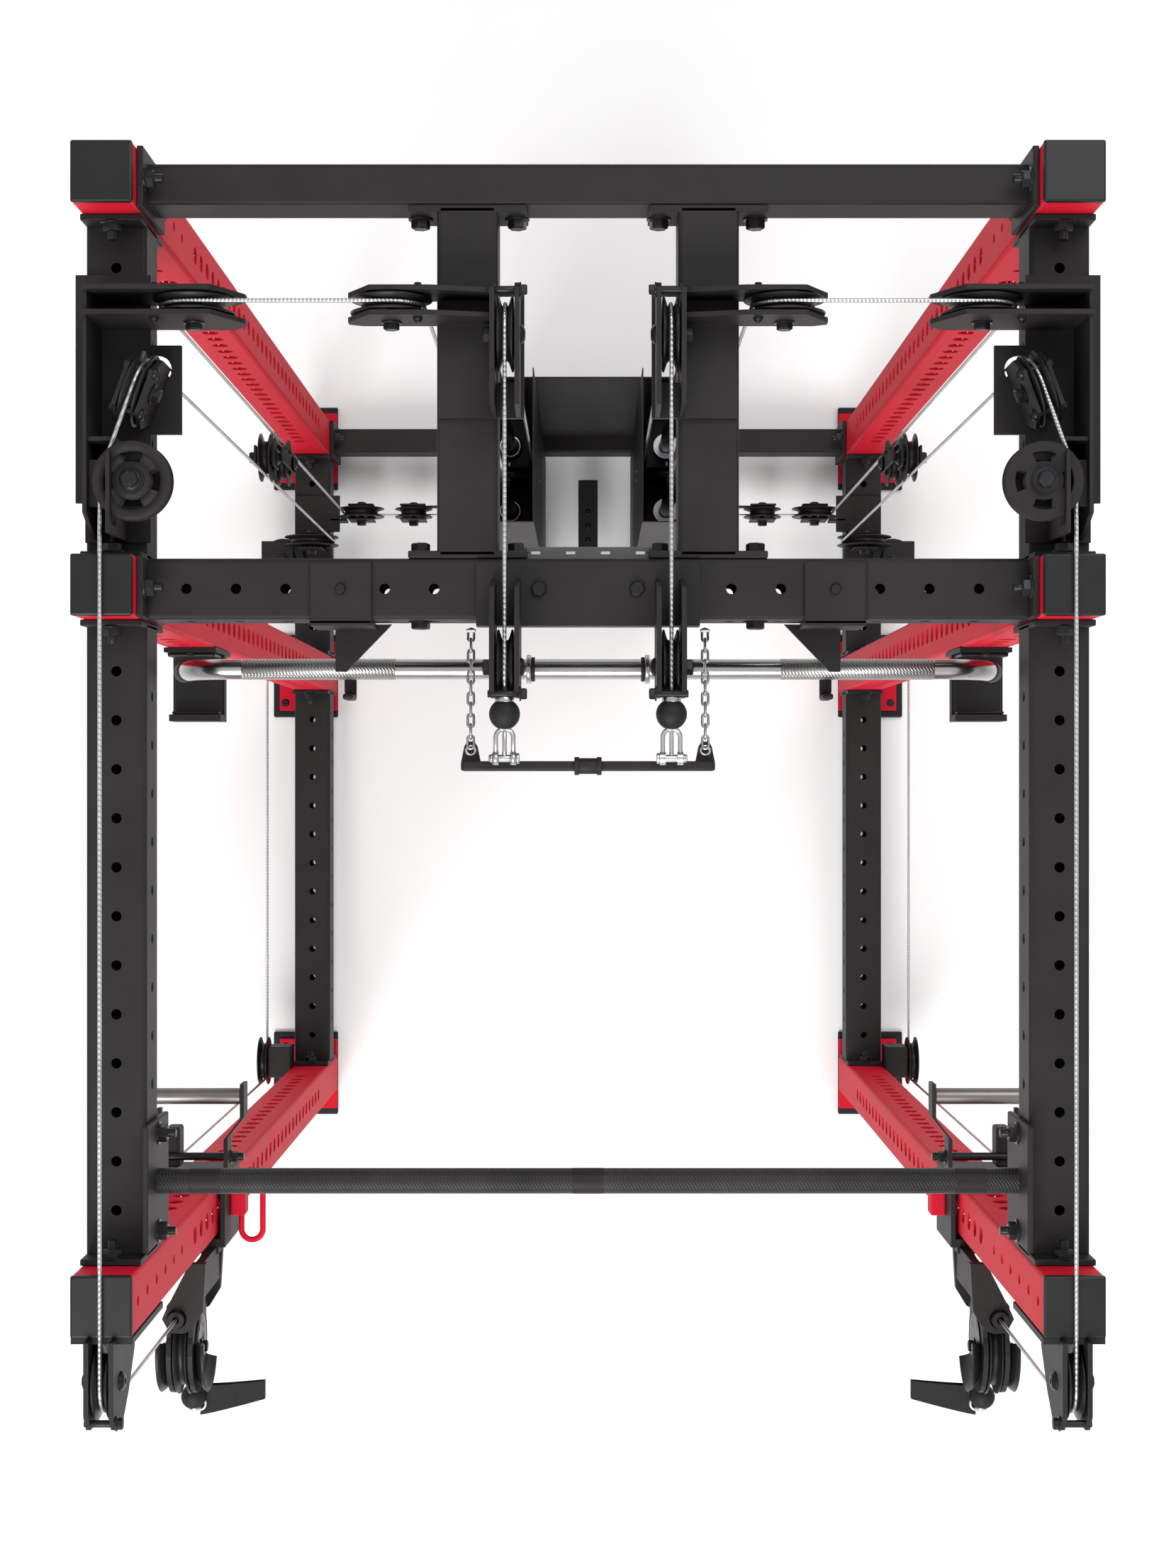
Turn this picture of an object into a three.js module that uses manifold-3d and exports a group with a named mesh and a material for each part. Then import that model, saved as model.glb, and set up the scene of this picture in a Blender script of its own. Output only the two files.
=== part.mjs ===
// Cable crossover machine: six uprights, two weight towers and two sliding pulley carriages.
// Millimetres, +Z up, +X to the machine's right, +Y to its rear. Left-hand pieces lie at -X and the
// right-hand ones are their mirror images.
import * as THREE from 'three';
import { mergeVertices } from 'three/addons/utils/BufferGeometryUtils.js';
import Module from 'manifold-3d';

const wasm = await Module();
wasm.setup();

// Driving dimensions of the frame
const TUBE = 75;
const HALF = TUBE / 2;
const WALL = 3;
const GAP = 0.3;
const PLATE = 8;
const HEIGHT = 2286;
const UPRIGHT_X = 585;
const REAR_Y = 741;
const MIDDLE_Y = 244;
const FRONT_Y = -624;
const FLANGE = 146;
const REAR_BEAM_WIDTH = 50;
const PULLUP_Y = -494;
const PULLUP_RADIUS = 16;
const CROSS_Z = 2187;
const DEPTH_Z = 2156.6;
const BASE_CROSS_Z = 93;
const BASE_DEPTH_Z = 120.5;
const FOOT_INNER = 38;
const FOOT_OUTER = 102;
const FOOT_HALF_Y = 90;
const FOOT_TOP = 18;
const CAP = 8;

// Weight towers
const TOWER_X = 148;
const ROD_Y = [526, 649];
const ROD_RADIUS = 12.5;
const ROD_CLEAR = 2;
const BUMPER_RADIUS = 30;
const STACK_BOTTOM = 160;
const STACK_TOP = 660;
const STACK_PULLEY_Z = 720;
const STACK_PULLEY_RADIUS = 48;
const SHROUD_TOP = 1143;

// Cable and the pulleys that turn it. A turn radius is measured to the middle of the cable.
const CABLE_RADIUS = 2.5;
const CABLE_SIDES = 8;
const AXLE_RADIUS = 6;
const BORE_RADIUS = 7;
const FLANGE_OVER = 10;
const PULLEY_HALF = 10;
const CHEEK_GAP = 12;
const CHEEK = 6;
const TOP_CABLE_Z = 2292;
const TURN = 36;
const WIDE_TURN = 40;
const TOWER_LINE_X = 100;
const SIDE_LINE_Y = 584;
const TOWER_PULLEY = [-TOWER_LINE_X, 550, TOP_CABLE_Z - TURN];
const LAT_PULLEY = [-TOWER_LINE_X, 146, TOP_CABLE_Z - TURN];
const INNER_PULLEY = [-239, SIDE_LINE_Y, 2250];
const CORNER_PULLEY = [-479, SIDE_LINE_Y, 2250];
const TURN_PULLEY = [-545, 367, TOP_CABLE_Z];
const SIDE_TURN = 35;
const FRONT_PULLEY = [-UPRIGHT_X, -720, TOP_CABLE_Z - TURN];
const DROP_LINE = [-533, 517];
const SWIVEL_Y = FRONT_PULLEY[1] - TURN;
const SWIVEL_PULLEY_RADIUS = 58;
const SWIVEL_PULLEY = [-UPRIGHT_X, SWIVEL_Y - SWIVEL_PULLEY_RADIUS, 1690];
const BALL_RADIUS = 19;
const BALL_Y = -903;
const LAT_BALL_Y = 88;
const SPREADER_Y = 26;
const SPREADER_Z = 2256;
const EAR_X = 142;
const FLOOR_LINE_Z = 163;
const OUTER_LINE_X = -680;
const FLOOR_TURN = 40;
const DROP_TURN = 47;
const REAR_FLOOR_TURN = 38;

// Carriage
const SLEEVE_BOTTOM = 1511;
const SLEEVE_TOP = 1652;
const SLEEVE_CLEAR = 5;
const SLEEVE_WALL = 7;
const LUG = 14;
const LUG_REACH = 84;
const PIVOT_RADIUS = 12;
const ANCHOR_Y = -614;
const ANCHOR_Z = 1540;

// The frame's origin is the middle of its footprint box, from the handle's ball to the rear feet.
const SHIFT_Y = -(REAR_Y + FOOT_HALF_Y + BALL_Y - BALL_RADIUS) / 2;

// Fineness of round bodies, and the distance under which two corners are one
const ROUND = 16;
const SMOOTH = 20;
const PULLEY_SIDES = 18;
const MERGE = 1e-3;

const LOOKS = {
  red: { color: 0xc4203a, roughness: 0.42, metalness: 0.1 },
  black: { color: 0x2c2a2b, roughness: 0.55, metalness: 0.2 },
  plastic: { color: 0x1a1a1b, roughness: 0.5, metalness: 0 },
  steel: { color: 0x8d9094, roughness: 0.35, metalness: 0.9 },
  chrome: { color: 0xd8dadc, roughness: 0.12, metalness: 1 },
  cable: { color: 0xb8babc, roughness: 0.4, metalness: 0.8 },
};

const X = new THREE.Vector3(1, 0, 0);
const Y = new THREE.Vector3(0, 1, 0);
const Z = new THREE.Vector3(0, 0, 1);
const MINUS_X = new THREE.Vector3(-1, 0, 0);
const MINUS_Y = new THREE.Vector3(0, -1, 0);

const machine = new THREE.Group();
machine.position.y = SHIFT_Y;

// Solids ------------------------------------------------------------------------------------------

function solid(geometry) {
  geometry.deleteAttribute('normal');
  geometry.deleteAttribute('uv');
  const merged = mergeVertices(geometry, MERGE);
  const mesh = new wasm.Mesh({
    numProp: 3,
    vertProperties: new Float32Array(merged.attributes.position.array),
    triVerts: new Uint32Array(merged.index.array),
  });
  return new wasm.Manifold(mesh);
}

function box(low, high) {
  const size = high.map((value, axis) => value - low[axis]);
  const middle = high.map((value, axis) => (value + low[axis]) / 2);
  return solid(new THREE.BoxGeometry(...size).translate(...middle));
}

function rod(axis, radius, length, centre, sides = 12) {
  const geometry = new THREE.CylinderGeometry(radius, radius, length, sides);
  if (axis === 'x') geometry.rotateZ(Math.PI / 2);
  if (axis === 'z') geometry.rotateX(Math.PI / 2);
  return solid(geometry.translate(...centre));
}

// A flat plate square to an axis, between low and high along it. Its outline's points are (y, z) for
// axis x, (x, z) for axis y and (x, y) for axis z.
function sheet(axis, outline, low, high) {
  const corners = outline.map(([a, b]) => (axis === 'y' ? [b, a] : [a, b]));
  const shape = new THREE.Shape(corners.map(([a, b]) => new THREE.Vector2(a, b)));
  const geometry = new THREE.ExtrudeGeometry(shape, { depth: high - low, bevelEnabled: false });
  geometry.translate(0, 0, low);
  if (axis === 'x') geometry.applyMatrix4(new THREE.Matrix4().makeBasis(Y, Z, X));
  if (axis === 'y') geometry.applyMatrix4(new THREE.Matrix4().makeBasis(Z, X, Y));
  return solid(geometry);
}

function join(first, ...others) {
  return others.reduce((whole, piece) => whole.add(piece), first);
}

function cut(body, ...tools) {
  return tools.reduce((rest, tool) => rest.subtract(tool), body);
}

// A route through given points, sampled at the points themselves
class Route extends THREE.Curve {
  constructor(points) {
    super();
    this.points = points;
  }

  getPoint(t) {
    const place = t * (this.points.length - 1);
    const index = Math.min(Math.floor(place + 1e-9), this.points.length - 2);
    return this.points[index].clone().lerp(this.points[index + 1], place - index);
  }

  getPointAt(u) {
    return this.getPoint(u);
  }

  getTangentAt(u) {
    const last = this.points.length - 1;
    const index = Math.round(u * last);
    const before = this.points[Math.max(index - 1, 0)];
    const here = this.points[index];
    const after = this.points[Math.min(index + 1, last)];
    const arriving = here.clone().sub(before).normalize();
    const leaving = after.clone().sub(here).normalize();
    return arriving.add(leaving).normalize();
  }
}

function sweep(points, radius, sides) {
  const section = new THREE.Shape();
  for (let side = 0; side < sides; side += 1) {
    const angle = (2 * Math.PI * side) / sides;
    const corner = [radius * Math.cos(angle), radius * Math.sin(angle)];
    if (side === 0) section.moveTo(...corner);
    else section.lineTo(...corner);
  }
  section.closePath();
  const steps = points.length - 1;
  const extrudePath = new Route(points);
  return solid(new THREE.ExtrudeGeometry(section, { steps, extrudePath, curveSegments: 1 }));
}

// Points on an arc about centre, from angle a to angle b in degrees, measured from u towards v
function arc(centre, u, v, radius, a, b, steps) {
  const points = [];
  for (let step = 0; step <= steps; step += 1) {
    const angle = ((a + ((b - a) * step) / steps) * Math.PI) / 180;
    const point = new THREE.Vector3(...centre);
    point.addScaledVector(u, radius * Math.cos(angle));
    point.addScaledVector(v, radius * Math.sin(angle));
    points.push(point);
  }
  return points;
}

// Named pieces --------------------------------------------------------------------------------------

function geometryOf(body, mirrored) {
  const mesh = body.getMesh();
  const positions = new Float32Array(mesh.vertProperties);
  const triangles = new Uint32Array(mesh.triVerts);
  if (mirrored) {
    for (let i = 0; i < positions.length; i += 3) positions[i] = -positions[i];
    for (let i = 0; i < triangles.length; i += 3) {
      [triangles[i], triangles[i + 1]] = [triangles[i + 1], triangles[i]];
    }
  }
  const geometry = new THREE.BufferGeometry();
  geometry.setAttribute('position', new THREE.BufferAttribute(positions, 3));
  geometry.setIndex(new THREE.BufferAttribute(triangles, 1));
  geometry.computeVertexNormals();
  return geometry;
}

function add(name, look, body, mirrored = false) {
  const material = new THREE.MeshStandardMaterial(LOOKS[look]);
  const mesh = new THREE.Mesh(geometryOf(body, mirrored), material);
  mesh.name = name;
  machine.add(mesh);
}

function addPair(name, look, body) {
  add(`${name}_left`, look, body);
  add(`${name}_right`, look, body, true);
}

// Frame ---------------------------------------------------------------------------------------------

function upright(y) {
  const x = -UPRIGHT_X;
  const tube = box([x - HALF, y - HALF, 0], [x + HALF, y + HALF, HEIGHT]);
  const foot = box([x - FOOT_OUTER, y - FOOT_HALF_Y, 0], [x + FOOT_INNER, y + FOOT_HALF_Y, FOOT_TOP]);
  const inside = HALF - WALL;
  const hollow = box([x - inside, y - inside, -1], [x + inside, y + inside, HEIGHT - CAP]);
  return cut(join(tube, foot), hollow);
}

// A hollow beam along one axis (0 for X, 1 for Y) with a plate at each end, ends given to the plates
function beam(axis, start, end, across, z, width, plateWidth, plateHeight) {
  const other = 1 - axis;
  const place = (along, side, height) => {
    const point = [0, 0, z + height];
    point[axis] = along;
    point[other] = across + side;
    return point;
  };
  const body = box(place(start, -width / 2, -HALF), place(end, width / 2, HALF));
  const high = plateHeight / 2;
  const wide = plateWidth / 2;
  const first = box(place(start, -wide, -high), place(start + PLATE, wide, high));
  const second = box(place(end - PLATE, -wide, -high), place(end, wide, high));
  const bore = width / 2 - WALL;
  const hollow = box(place(start - 1, -bore, WALL - HALF), place(end + 1, bore, HALF - WALL));
  return cut(join(body, first, second), hollow);
}

function crossBeam(y, z, width) {
  const reach = UPRIGHT_X - HALF - GAP;
  return beam(0, -reach, reach, y, z, width, TUBE, FLANGE);
}

function depthBeam(frontY, rearY, z) {
  const start = frontY + HALF + GAP;
  const end = rearY - HALF - GAP;
  return beam(1, start, end, -UPRIGHT_X, z, TUBE, TUBE, FLANGE);
}

function pullupBar() {
  const outer = UPRIGHT_X - HALF - GAP;
  const [wide, high] = [78, 70];
  const plate = (x) => box(
    [x, PULLUP_Y - wide, DEPTH_Z - high],
    [x + PLATE, PULLUP_Y + wide, DEPTH_Z + high],
  );
  const grip = rod('x', PULLUP_RADIUS, 2 * outer - PLATE, [0, PULLUP_Y, DEPTH_Z], SMOOTH);
  return join(grip, plate(-outer), plate(outer - PLATE));
}

function addFrame() {
  addPair('rear_upright', 'red', upright(REAR_Y));
  addPair('middle_upright', 'red', upright(MIDDLE_Y));
  addPair('front_upright', 'red', upright(FRONT_Y));
  add('rear_top_crossmember', 'black', crossBeam(REAR_Y, CROSS_Z, REAR_BEAM_WIDTH));
  add('rear_bottom_crossmember', 'black', crossBeam(REAR_Y, BASE_CROSS_Z, REAR_BEAM_WIDTH));
  add('middle_crossmember', 'black', crossBeam(MIDDLE_Y, CROSS_Z, TUBE));
  addPair('rear_top_beam', 'black', depthBeam(MIDDLE_Y, REAR_Y, DEPTH_Z));
  addPair('front_top_beam', 'black', depthBeam(FRONT_Y, MIDDLE_Y, DEPTH_Z));
  addPair('rear_base_beam', 'black', depthBeam(MIDDLE_Y, REAR_Y, BASE_DEPTH_Z));
  addPair('front_base_beam', 'black', depthBeam(FRONT_Y, MIDDLE_Y, BASE_DEPTH_Z));
  add('front_pullup_bar', 'black', pullupBar());
  const towerStart = MIDDLE_Y + HALF + GAP;
  const towerEnd = REAR_Y - REAR_BEAM_WIDTH / 2 - GAP;
  const towerBeam = beam(1, towerStart, towerEnd, -TOWER_X, CROSS_Z, TUBE, FLANGE, TUBE);
  addPair('tower_beam', 'black', towerBeam);
}

// Weight towers ---------------------------------------------------------------------------------------

function towerPost(radius, y, low, high) {
  return rod('z', radius, high - low, [-TOWER_X, y, (low + high) / 2], ROUND);
}

function guideRods() {
  const top = CROSS_Z - HALF - GAP;
  const foot = 12;
  const base = box([-TOWER_X - 39, 470, 0], [-TOWER_X + 39, 705, foot]);
  const pieces = ROD_Y.flatMap((y) => [
    towerPost(ROD_RADIUS, y, foot - 2, top),
    towerPost(BUMPER_RADIUS, y, foot, STACK_BOTTOM - GAP),
  ]);
  return join(base, ...pieces);
}

function weightStack() {
  const block = box([-TOWER_X - 38, 472, STACK_BOTTOM], [-TOWER_X + 38, 703, STACK_TOP]);
  const bores = ROD_Y.map((y) => towerPost(ROD_RADIUS + ROD_CLEAR, y, STACK_BOTTOM - 10, STACK_TOP + 10));
  const [near, far, thick] = [570, 598, 4];
  const cheekTop = STACK_PULLEY_Z + 22;
  const cheek = (y) => box([-TOWER_X - 18, y, STACK_TOP - 1], [-TOWER_X + 18, y + thick, cheekTop]);
  const middle = (near + far + thick) / 2;
  const axle = rod('y', AXLE_RADIUS, far - near + 2, [-TOWER_X, middle, STACK_PULLEY_Z]);
  return join(cut(block, ...bores), cheek(near), cheek(far), axle);
}

function shroud() {
  const skin = 2;
  const [low, high] = [[-204, 450, 20], [-92, 712, SHROUD_TOP]];
  const innerLow = [low[0] + skin, low[1] + skin, low[2] - 1];
  const innerHigh = [high[0] - skin, high[1] + 1, high[2] + 1];
  return cut(box(low, high), box(innerLow, innerHigh));
}

function rearPanel() {
  const bottom = BASE_CROSS_Z + HALF + GAP;
  const [width, height, thick] = [450, 713, 3];
  const back = REAR_Y + 6;
  return box([-width / 2, back, bottom], [width / 2, back + thick, bottom + height]);
}

function addTowers() {
  addPair('guide_rods', 'steel', guideRods());
  addPair('weight_stack', 'black', weightStack());
  addPair('stack_shroud', 'black', shroud());
  add('rear_panel', 'black', rearPanel());
}

// Pulleys and their brackets ----------------------------------------------------------------------------

function pulley(axis, centre, turn) {
  const rim = turn + FLANGE_OVER;
  const groove = turn - CABLE_RADIUS - 1;
  const half = PULLEY_HALF;
  const profile = [
    [BORE_RADIUS, -half],
    [rim, -half],
    [rim, 2.5 - half],
    [groove, -3.6],
    [groove, 3.6],
    [rim, half - 2.5],
    [rim, half],
    [BORE_RADIUS, half],
    [BORE_RADIUS, -half],
  ];
  const outline = profile.map(([radius, height]) => new THREE.Vector2(radius, height));
  const geometry = new THREE.LatheGeometry(outline, PULLEY_SIDES);
  if (axis === 'x') geometry.rotateZ(Math.PI / 2);
  if (axis === 'z') geometry.rotateX(Math.PI / 2);
  return solid(geometry.translate(...centre));
}

// Two cheek plates of one outline with the axle between them, for an axle that runs along X or Y
function cheeks(axis, centre, outline) {
  const middle = centre[axis === 'x' ? 0 : 1];
  const near = sheet(axis, outline, middle - CHEEK_GAP - CHEEK, middle - CHEEK_GAP);
  const far = sheet(axis, outline, middle + CHEEK_GAP, middle + CHEEK_GAP + CHEEK);
  const axle = rod(axis, AXLE_RADIUS, 2 * CHEEK_GAP + CHEEK, centre);
  return join(near, far, axle);
}

function towerBracket() {
  const top = CROSS_Z + HALF + GAP;
  const base = box([-183, 452, top], [-78, 611, top + 7]);
  const over = cheeks('x', TOWER_PULLEY, [
    [452, top], [458, 2300], [598, 2300], [606, 2288], [606, top],
  ]);
  const side = cheeks('y', INNER_PULLEY, [
    [-116, top], [-116, 2280], [-190, 2296], [-262, 2296], [-292, 2248], [-292, 2234], [-276, top],
  ]);
  const cableSlot = box([-111.5, 496, top - 5], [-88.5, 602, top + 12]);
  return cut(join(base, over, side), cableSlot);
}

function latSaddle() {
  const top = CROSS_Z + HALF + GAP;
  const base = box([-137, 198, top], [137, 276, top + PLATE]);
  const lip = box([-137, 198, top - 24], [137, 205.5, top + 1]);
  const front = LAT_BALL_Y + BALL_RADIUS + 2;
  const outline = [
    [205.5, 2212], [205.5, top], [257, top], [240, 2296], [200, 2309], [front + 6, 2309],
    [front, 2300], [front, 2232], [front + 12, 2212],
  ];
  const mirrorPulley = [TOWER_LINE_X, LAT_PULLEY[1], LAT_PULLEY[2]];
  return join(base, lip, cheeks('x', LAT_PULLEY, outline), cheeks('x', mirrorPulley, outline));
}

function dropDirection() {
  const [x, y] = [DROP_LINE[0] - TURN_PULLEY[0], DROP_LINE[1] - TURN_PULLEY[1]];
  const angle = Math.atan2(y, x) - Math.asin(WIDE_TURN / Math.hypot(x, y));
  return new THREE.Vector3(Math.cos(angle), Math.sin(angle), 0);
}

// The two cheeks of the pulley that turns the carriage cable down, square to no axis
function tiltedCheeks(floor) {
  const direction = dropDirection();
  const middle = [DROP_LINE[0] - TURN * direction.x, DROP_LINE[1] - TURN * direction.y];
  const outline = [
    [-34, 2218], [-44, 2250], [-30, 2290], [24, 2290], [42, 2262], [42, floor], [-30, floor],
  ];
  const [spread, thick] = [15, 5];
  const turn = (Math.atan2(direction.y, direction.x) * 180) / Math.PI;
  return [-spread, spread].map((side) => {
    const plate = sheet('y', outline, side - thick / 2, side + thick / 2);
    return plate.rotate([0, 0, turn]).translate([...middle, 0]);
  });
}

function cornerBracket() {
  const floor = DEPTH_Z + HALF + GAP;
  const top = floor + 7;
  const [x, y] = TURN_PULLEY;
  const base = box([-634, 352, floor], [-541, 634, top]);
  const frontBase = box([-622, 303, floor], [-541, 353, top]);
  const shelf = box([-546, 437, floor], [-503, 547, top]);
  const outerWall = sheet('x', [
    [303, floor], [303, 2238], [330, 2292], [602, 2292], [602, floor],
  ], -606, -601);
  const corner = cheeks('y', CORNER_PULLEY, [
    [-606, top - 1], [-606, 2300], [-452, 2300], [-418, 2240], [-418, 2226], [-436, top - 1],
  ]);
  const crossWall = box([-606, 417, top - 1], [-568, 422, 2284]);
  const innerWall = box([-573, 303, top - 1], [-568, 422, 2318]);
  const seat = box([-602, y - 28, 2268], [x + 30, y + 28, 2276]);
  const post = rod('z', AXLE_RADIUS, 44, [x, y, 2290], 12);
  const keeper = rod('z', 16, 4, [x, y, 2307], SMOOTH);
  const pieces = [frontBase, shelf, outerWall, corner, crossWall, innerWall, seat, post, keeper];
  const whole = join(base, ...pieces, ...tiltedCheeks(floor));
  const dropHole = rod('z', 18, 30, [...DROP_LINE, floor], SMOOTH);
  const dropPath = rod('z', 5, 300, [...DROP_LINE, floor]);
  const wheelSlot = box([-574, 314, 2279], [-567, 420, 2305]);
  const cablePath = box([-586, 400, 2286], [-556, 426, 2320]);
  return cut(whole, dropHole, dropPath, wheelSlot, cablePath);
}

function frontBracket() {
  const face = FRONT_Y - HALF - GAP;
  const plate = box([-UPRIGHT_X - HALF, face - PLATE, 2083], [-UPRIGHT_X + HALF, face, 2280]);
  const sides = cheeks('x', FRONT_PULLEY, [
    [face - 2, 2168], [face - 2, 2300], [-752, 2300], [-772, 2284],
    [-772, 2240], [-744, 2206], [-698, 2168],
  ]);
  return join(plate, sides);
}

function addPulleys() {
  addPair('tower_bracket', 'black', towerBracket());
  addPair('corner_bracket', 'black', cornerBracket());
  addPair('front_bracket', 'black', frontBracket());
  add('lat_saddle', 'black', latSaddle());
  addPair('tower_pulley', 'plastic', pulley('x', TOWER_PULLEY, TURN));
  addPair('lat_pulley', 'plastic', pulley('x', LAT_PULLEY, TURN));
  addPair('front_pulley', 'plastic', pulley('x', FRONT_PULLEY, TURN));
  addPair('inner_pulley', 'plastic', pulley('y', INNER_PULLEY, WIDE_TURN));
  addPair('corner_pulley', 'plastic', pulley('y', CORNER_PULLEY, WIDE_TURN));
  addPair('turn_pulley', 'plastic', pulley('z', TURN_PULLEY, WIDE_TURN));
}

// Carriages and swivels ----------------------------------------------------------------------------------

function carriage() {
  const x = -UPRIGHT_X;
  const inner = HALF + SLEEVE_CLEAR;
  const outer = inner + SLEEVE_WALL;
  const frontFace = FRONT_Y - outer - 5;
  const body = box([x - outer, frontFace, SLEEVE_BOTTOM], [x + outer, FRONT_Y + outer, SLEEVE_TOP]);
  const [below, above] = [SLEEVE_BOTTOM - 1, SLEEVE_TOP + 1];
  const bore = box([x - inner, FRONT_Y - inner, below], [x + inner, FRONT_Y + inner, above]);
  const lowLug = SWIVEL_PULLEY[2] - LUG_REACH;
  const highLug = SWIVEL_PULLEY[2] + LUG_REACH - LUG;
  const web = box([x + 25, SWIVEL_Y + 27, lowLug], [x + 37, frontFace + 1, highLug + LUG]);
  const spine = box([x - 20, frontFace - 9, SLEEVE_BOTTOM + 6], [x + 40, frontFace + 1, SLEEVE_TOP]);
  const arm = [
    [x + 18, frontFace + 1], [x + 41, frontFace + 1], [x + 37, SWIVEL_Y + 10], [x + 21, SWIVEL_Y - 16],
    [x + 8, SWIVEL_Y - 21], [x - 10, SWIVEL_Y - 20], [x - 21, SWIVEL_Y], [x - 14, SWIVEL_Y + 16],
  ];
  const lugs = [lowLug, highLug].map((z) => sheet('z', arm, z, z + LUG));
  const pivots = rod('z', PIVOT_RADIUS + 2, 400, [x, SWIVEL_Y, SWIVEL_PULLEY[2]], ROUND);
  const anchor = box(
    [OUTER_LINE_X - 6, ANCHOR_Y - 10, ANCHOR_Z],
    [x - outer + 1, ANCHOR_Y + 10, ANCHOR_Z + 16],
  );
  const pinBlock = box([x + outer - 1, -640, 1562], [x + outer + 18, -606, 1594]);
  return cut(join(body, web, spine, ...lugs, anchor, pinBlock), bore, pivots);
}

function swivelArm() {
  const [x, y, z] = SWIVEL_PULLEY;
  const [discRadius, discSides, thick, spread] = [66, 24, 7, 15.5];
  const plate = (side) => {
    const middle = x + side * spread;
    const disc = rod('x', discRadius, thick, [middle, y, z], discSides);
    const back = box([middle - 3, y + 5, z - 60], [middle + 3, SWIVEL_Y + 14, z + 60]);
    return join(disc, back);
  };
  const axle = rod('x', AXLE_RADIUS, 2 * spread - 1, [x, y, z]);
  const bridge = (low) => box([x - 18, SWIVEL_Y - 16, low], [x + 18, SWIVEL_Y + 13, low + 7]);
  const highBoss = rod('z', PIVOT_RADIUS, 40, [x, SWIVEL_Y, z + 74], ROUND);
  const lowBoss = rod('z', PIVOT_RADIUS, 36, [x, SWIVEL_Y, z - 72], ROUND);
  const whole = join(plate(-1), plate(1), axle, bridge(z + 59), bridge(z - 66), highBoss, lowBoss);
  const cableBore = rod('z', 2 * CABLE_RADIUS, 60, [x, SWIVEL_Y, z + 80]);
  return cut(whole, cableBore);
}

function addCarriages() {
  addPair('carriage', 'black', carriage());
  addPair('swivel_arm', 'black', swivelArm());
  addPair('swivel_pulley', 'plastic', pulley('x', SWIVEL_PULLEY, SWIVEL_PULLEY_RADIUS));
}

// Cables -----------------------------------------------------------------------------------------------

// From the lat station's ball over the tower, under the stack's pulley and down the rear corner
function stackRoute() {
  const stackPulley = [-TOWER_X, 586, STACK_PULLEY_Z];
  const start = new THREE.Vector3(-TOWER_LINE_X, LAT_BALL_Y, TOP_CABLE_Z);
  const dropX = CORNER_PULLEY[0] - WIDE_TURN;
  const floorTurn = [dropX + REAR_FLOOR_TURN, SIDE_LINE_Y, 150];
  const end = new THREE.Vector3(-208, SIDE_LINE_Y, 112);
  return [
    start,
    ...arc(TOWER_PULLEY, Y, Z, TURN, 90, 0, 6),
    ...arc(stackPulley, X, Z, STACK_PULLEY_RADIUS, 0, -180, 14),
    ...arc(INNER_PULLEY, X, Z, WIDE_TURN, 0, 90, 6),
    ...arc(CORNER_PULLEY, MINUS_X, Z, WIDE_TURN, 90, 0, 6),
    ...arc(floorTurn, MINUS_X, Z, REAR_FLOOR_TURN, 0, -90, 6),
    end,
  ];
}

// From the handle's ball up over the front pulley, back over the frame, down the rear corner,
// forward along the floor and up to the carriage again
function carriageRoute() {
  const direction = dropDirection();
  const turnEnd = (Math.atan2(direction.x, direction.y) * 180) / Math.PI;
  const tilted = new THREE.Vector3(...DROP_LINE, TOP_CABLE_Z - TURN);
  tilted.addScaledVector(direction, -TURN);
  const start = new THREE.Vector3(-UPRIGHT_X, BALL_Y, SWIVEL_PULLEY[2] - SWIVEL_PULLEY_RADIUS);
  const floorTurn = [DROP_LINE[0] - DROP_TURN, DROP_LINE[1], FLOOR_LINE_Z + DROP_TURN];
  const sideTurn = [OUTER_LINE_X + SIDE_TURN, DROP_LINE[1] - SIDE_TURN, FLOOR_LINE_Z];
  const frontTurn = [OUTER_LINE_X, FLOOR_TURN + ANCHOR_Y, FLOOR_LINE_Z + FLOOR_TURN];
  return [
    start,
    ...arc(SWIVEL_PULLEY, Y, Z, SWIVEL_PULLEY_RADIUS, -90, 0, 7),
    ...arc(FRONT_PULLEY, MINUS_Y, Z, TURN, 0, 90, 6),
    ...arc(TURN_PULLEY, MINUS_X, Y, WIDE_TURN, 0, turnEnd, 3),
    ...arc(tilted.toArray(), direction, Z, TURN, 90, 0, 6),
    ...arc(floorTurn, X, Z, DROP_TURN, 0, -90, 6),
    ...arc(sideTurn, Y, MINUS_X, SIDE_TURN, 0, 90, 5),
    ...arc(frontTurn, MINUS_Y, Z, FLOOR_TURN, -90, 0, 6),
    new THREE.Vector3(OUTER_LINE_X, ANCHOR_Y, ANCHOR_Z - GAP),
  ];
}

function cableWithBall(route) {
  const ball = new THREE.SphereGeometry(BALL_RADIUS, 12, 8).translate(...route[0].toArray());
  return join(sweep(route, CABLE_RADIUS, CABLE_SIDES), solid(ball));
}

function addCables() {
  addPair('stack_cable', 'cable', cableWithBall(stackRoute()));
  addPair('carriage_cable', 'cable', cableWithBall(carriageRoute()));
}

// Attachments ----------------------------------------------------------------------------------------------

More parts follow.
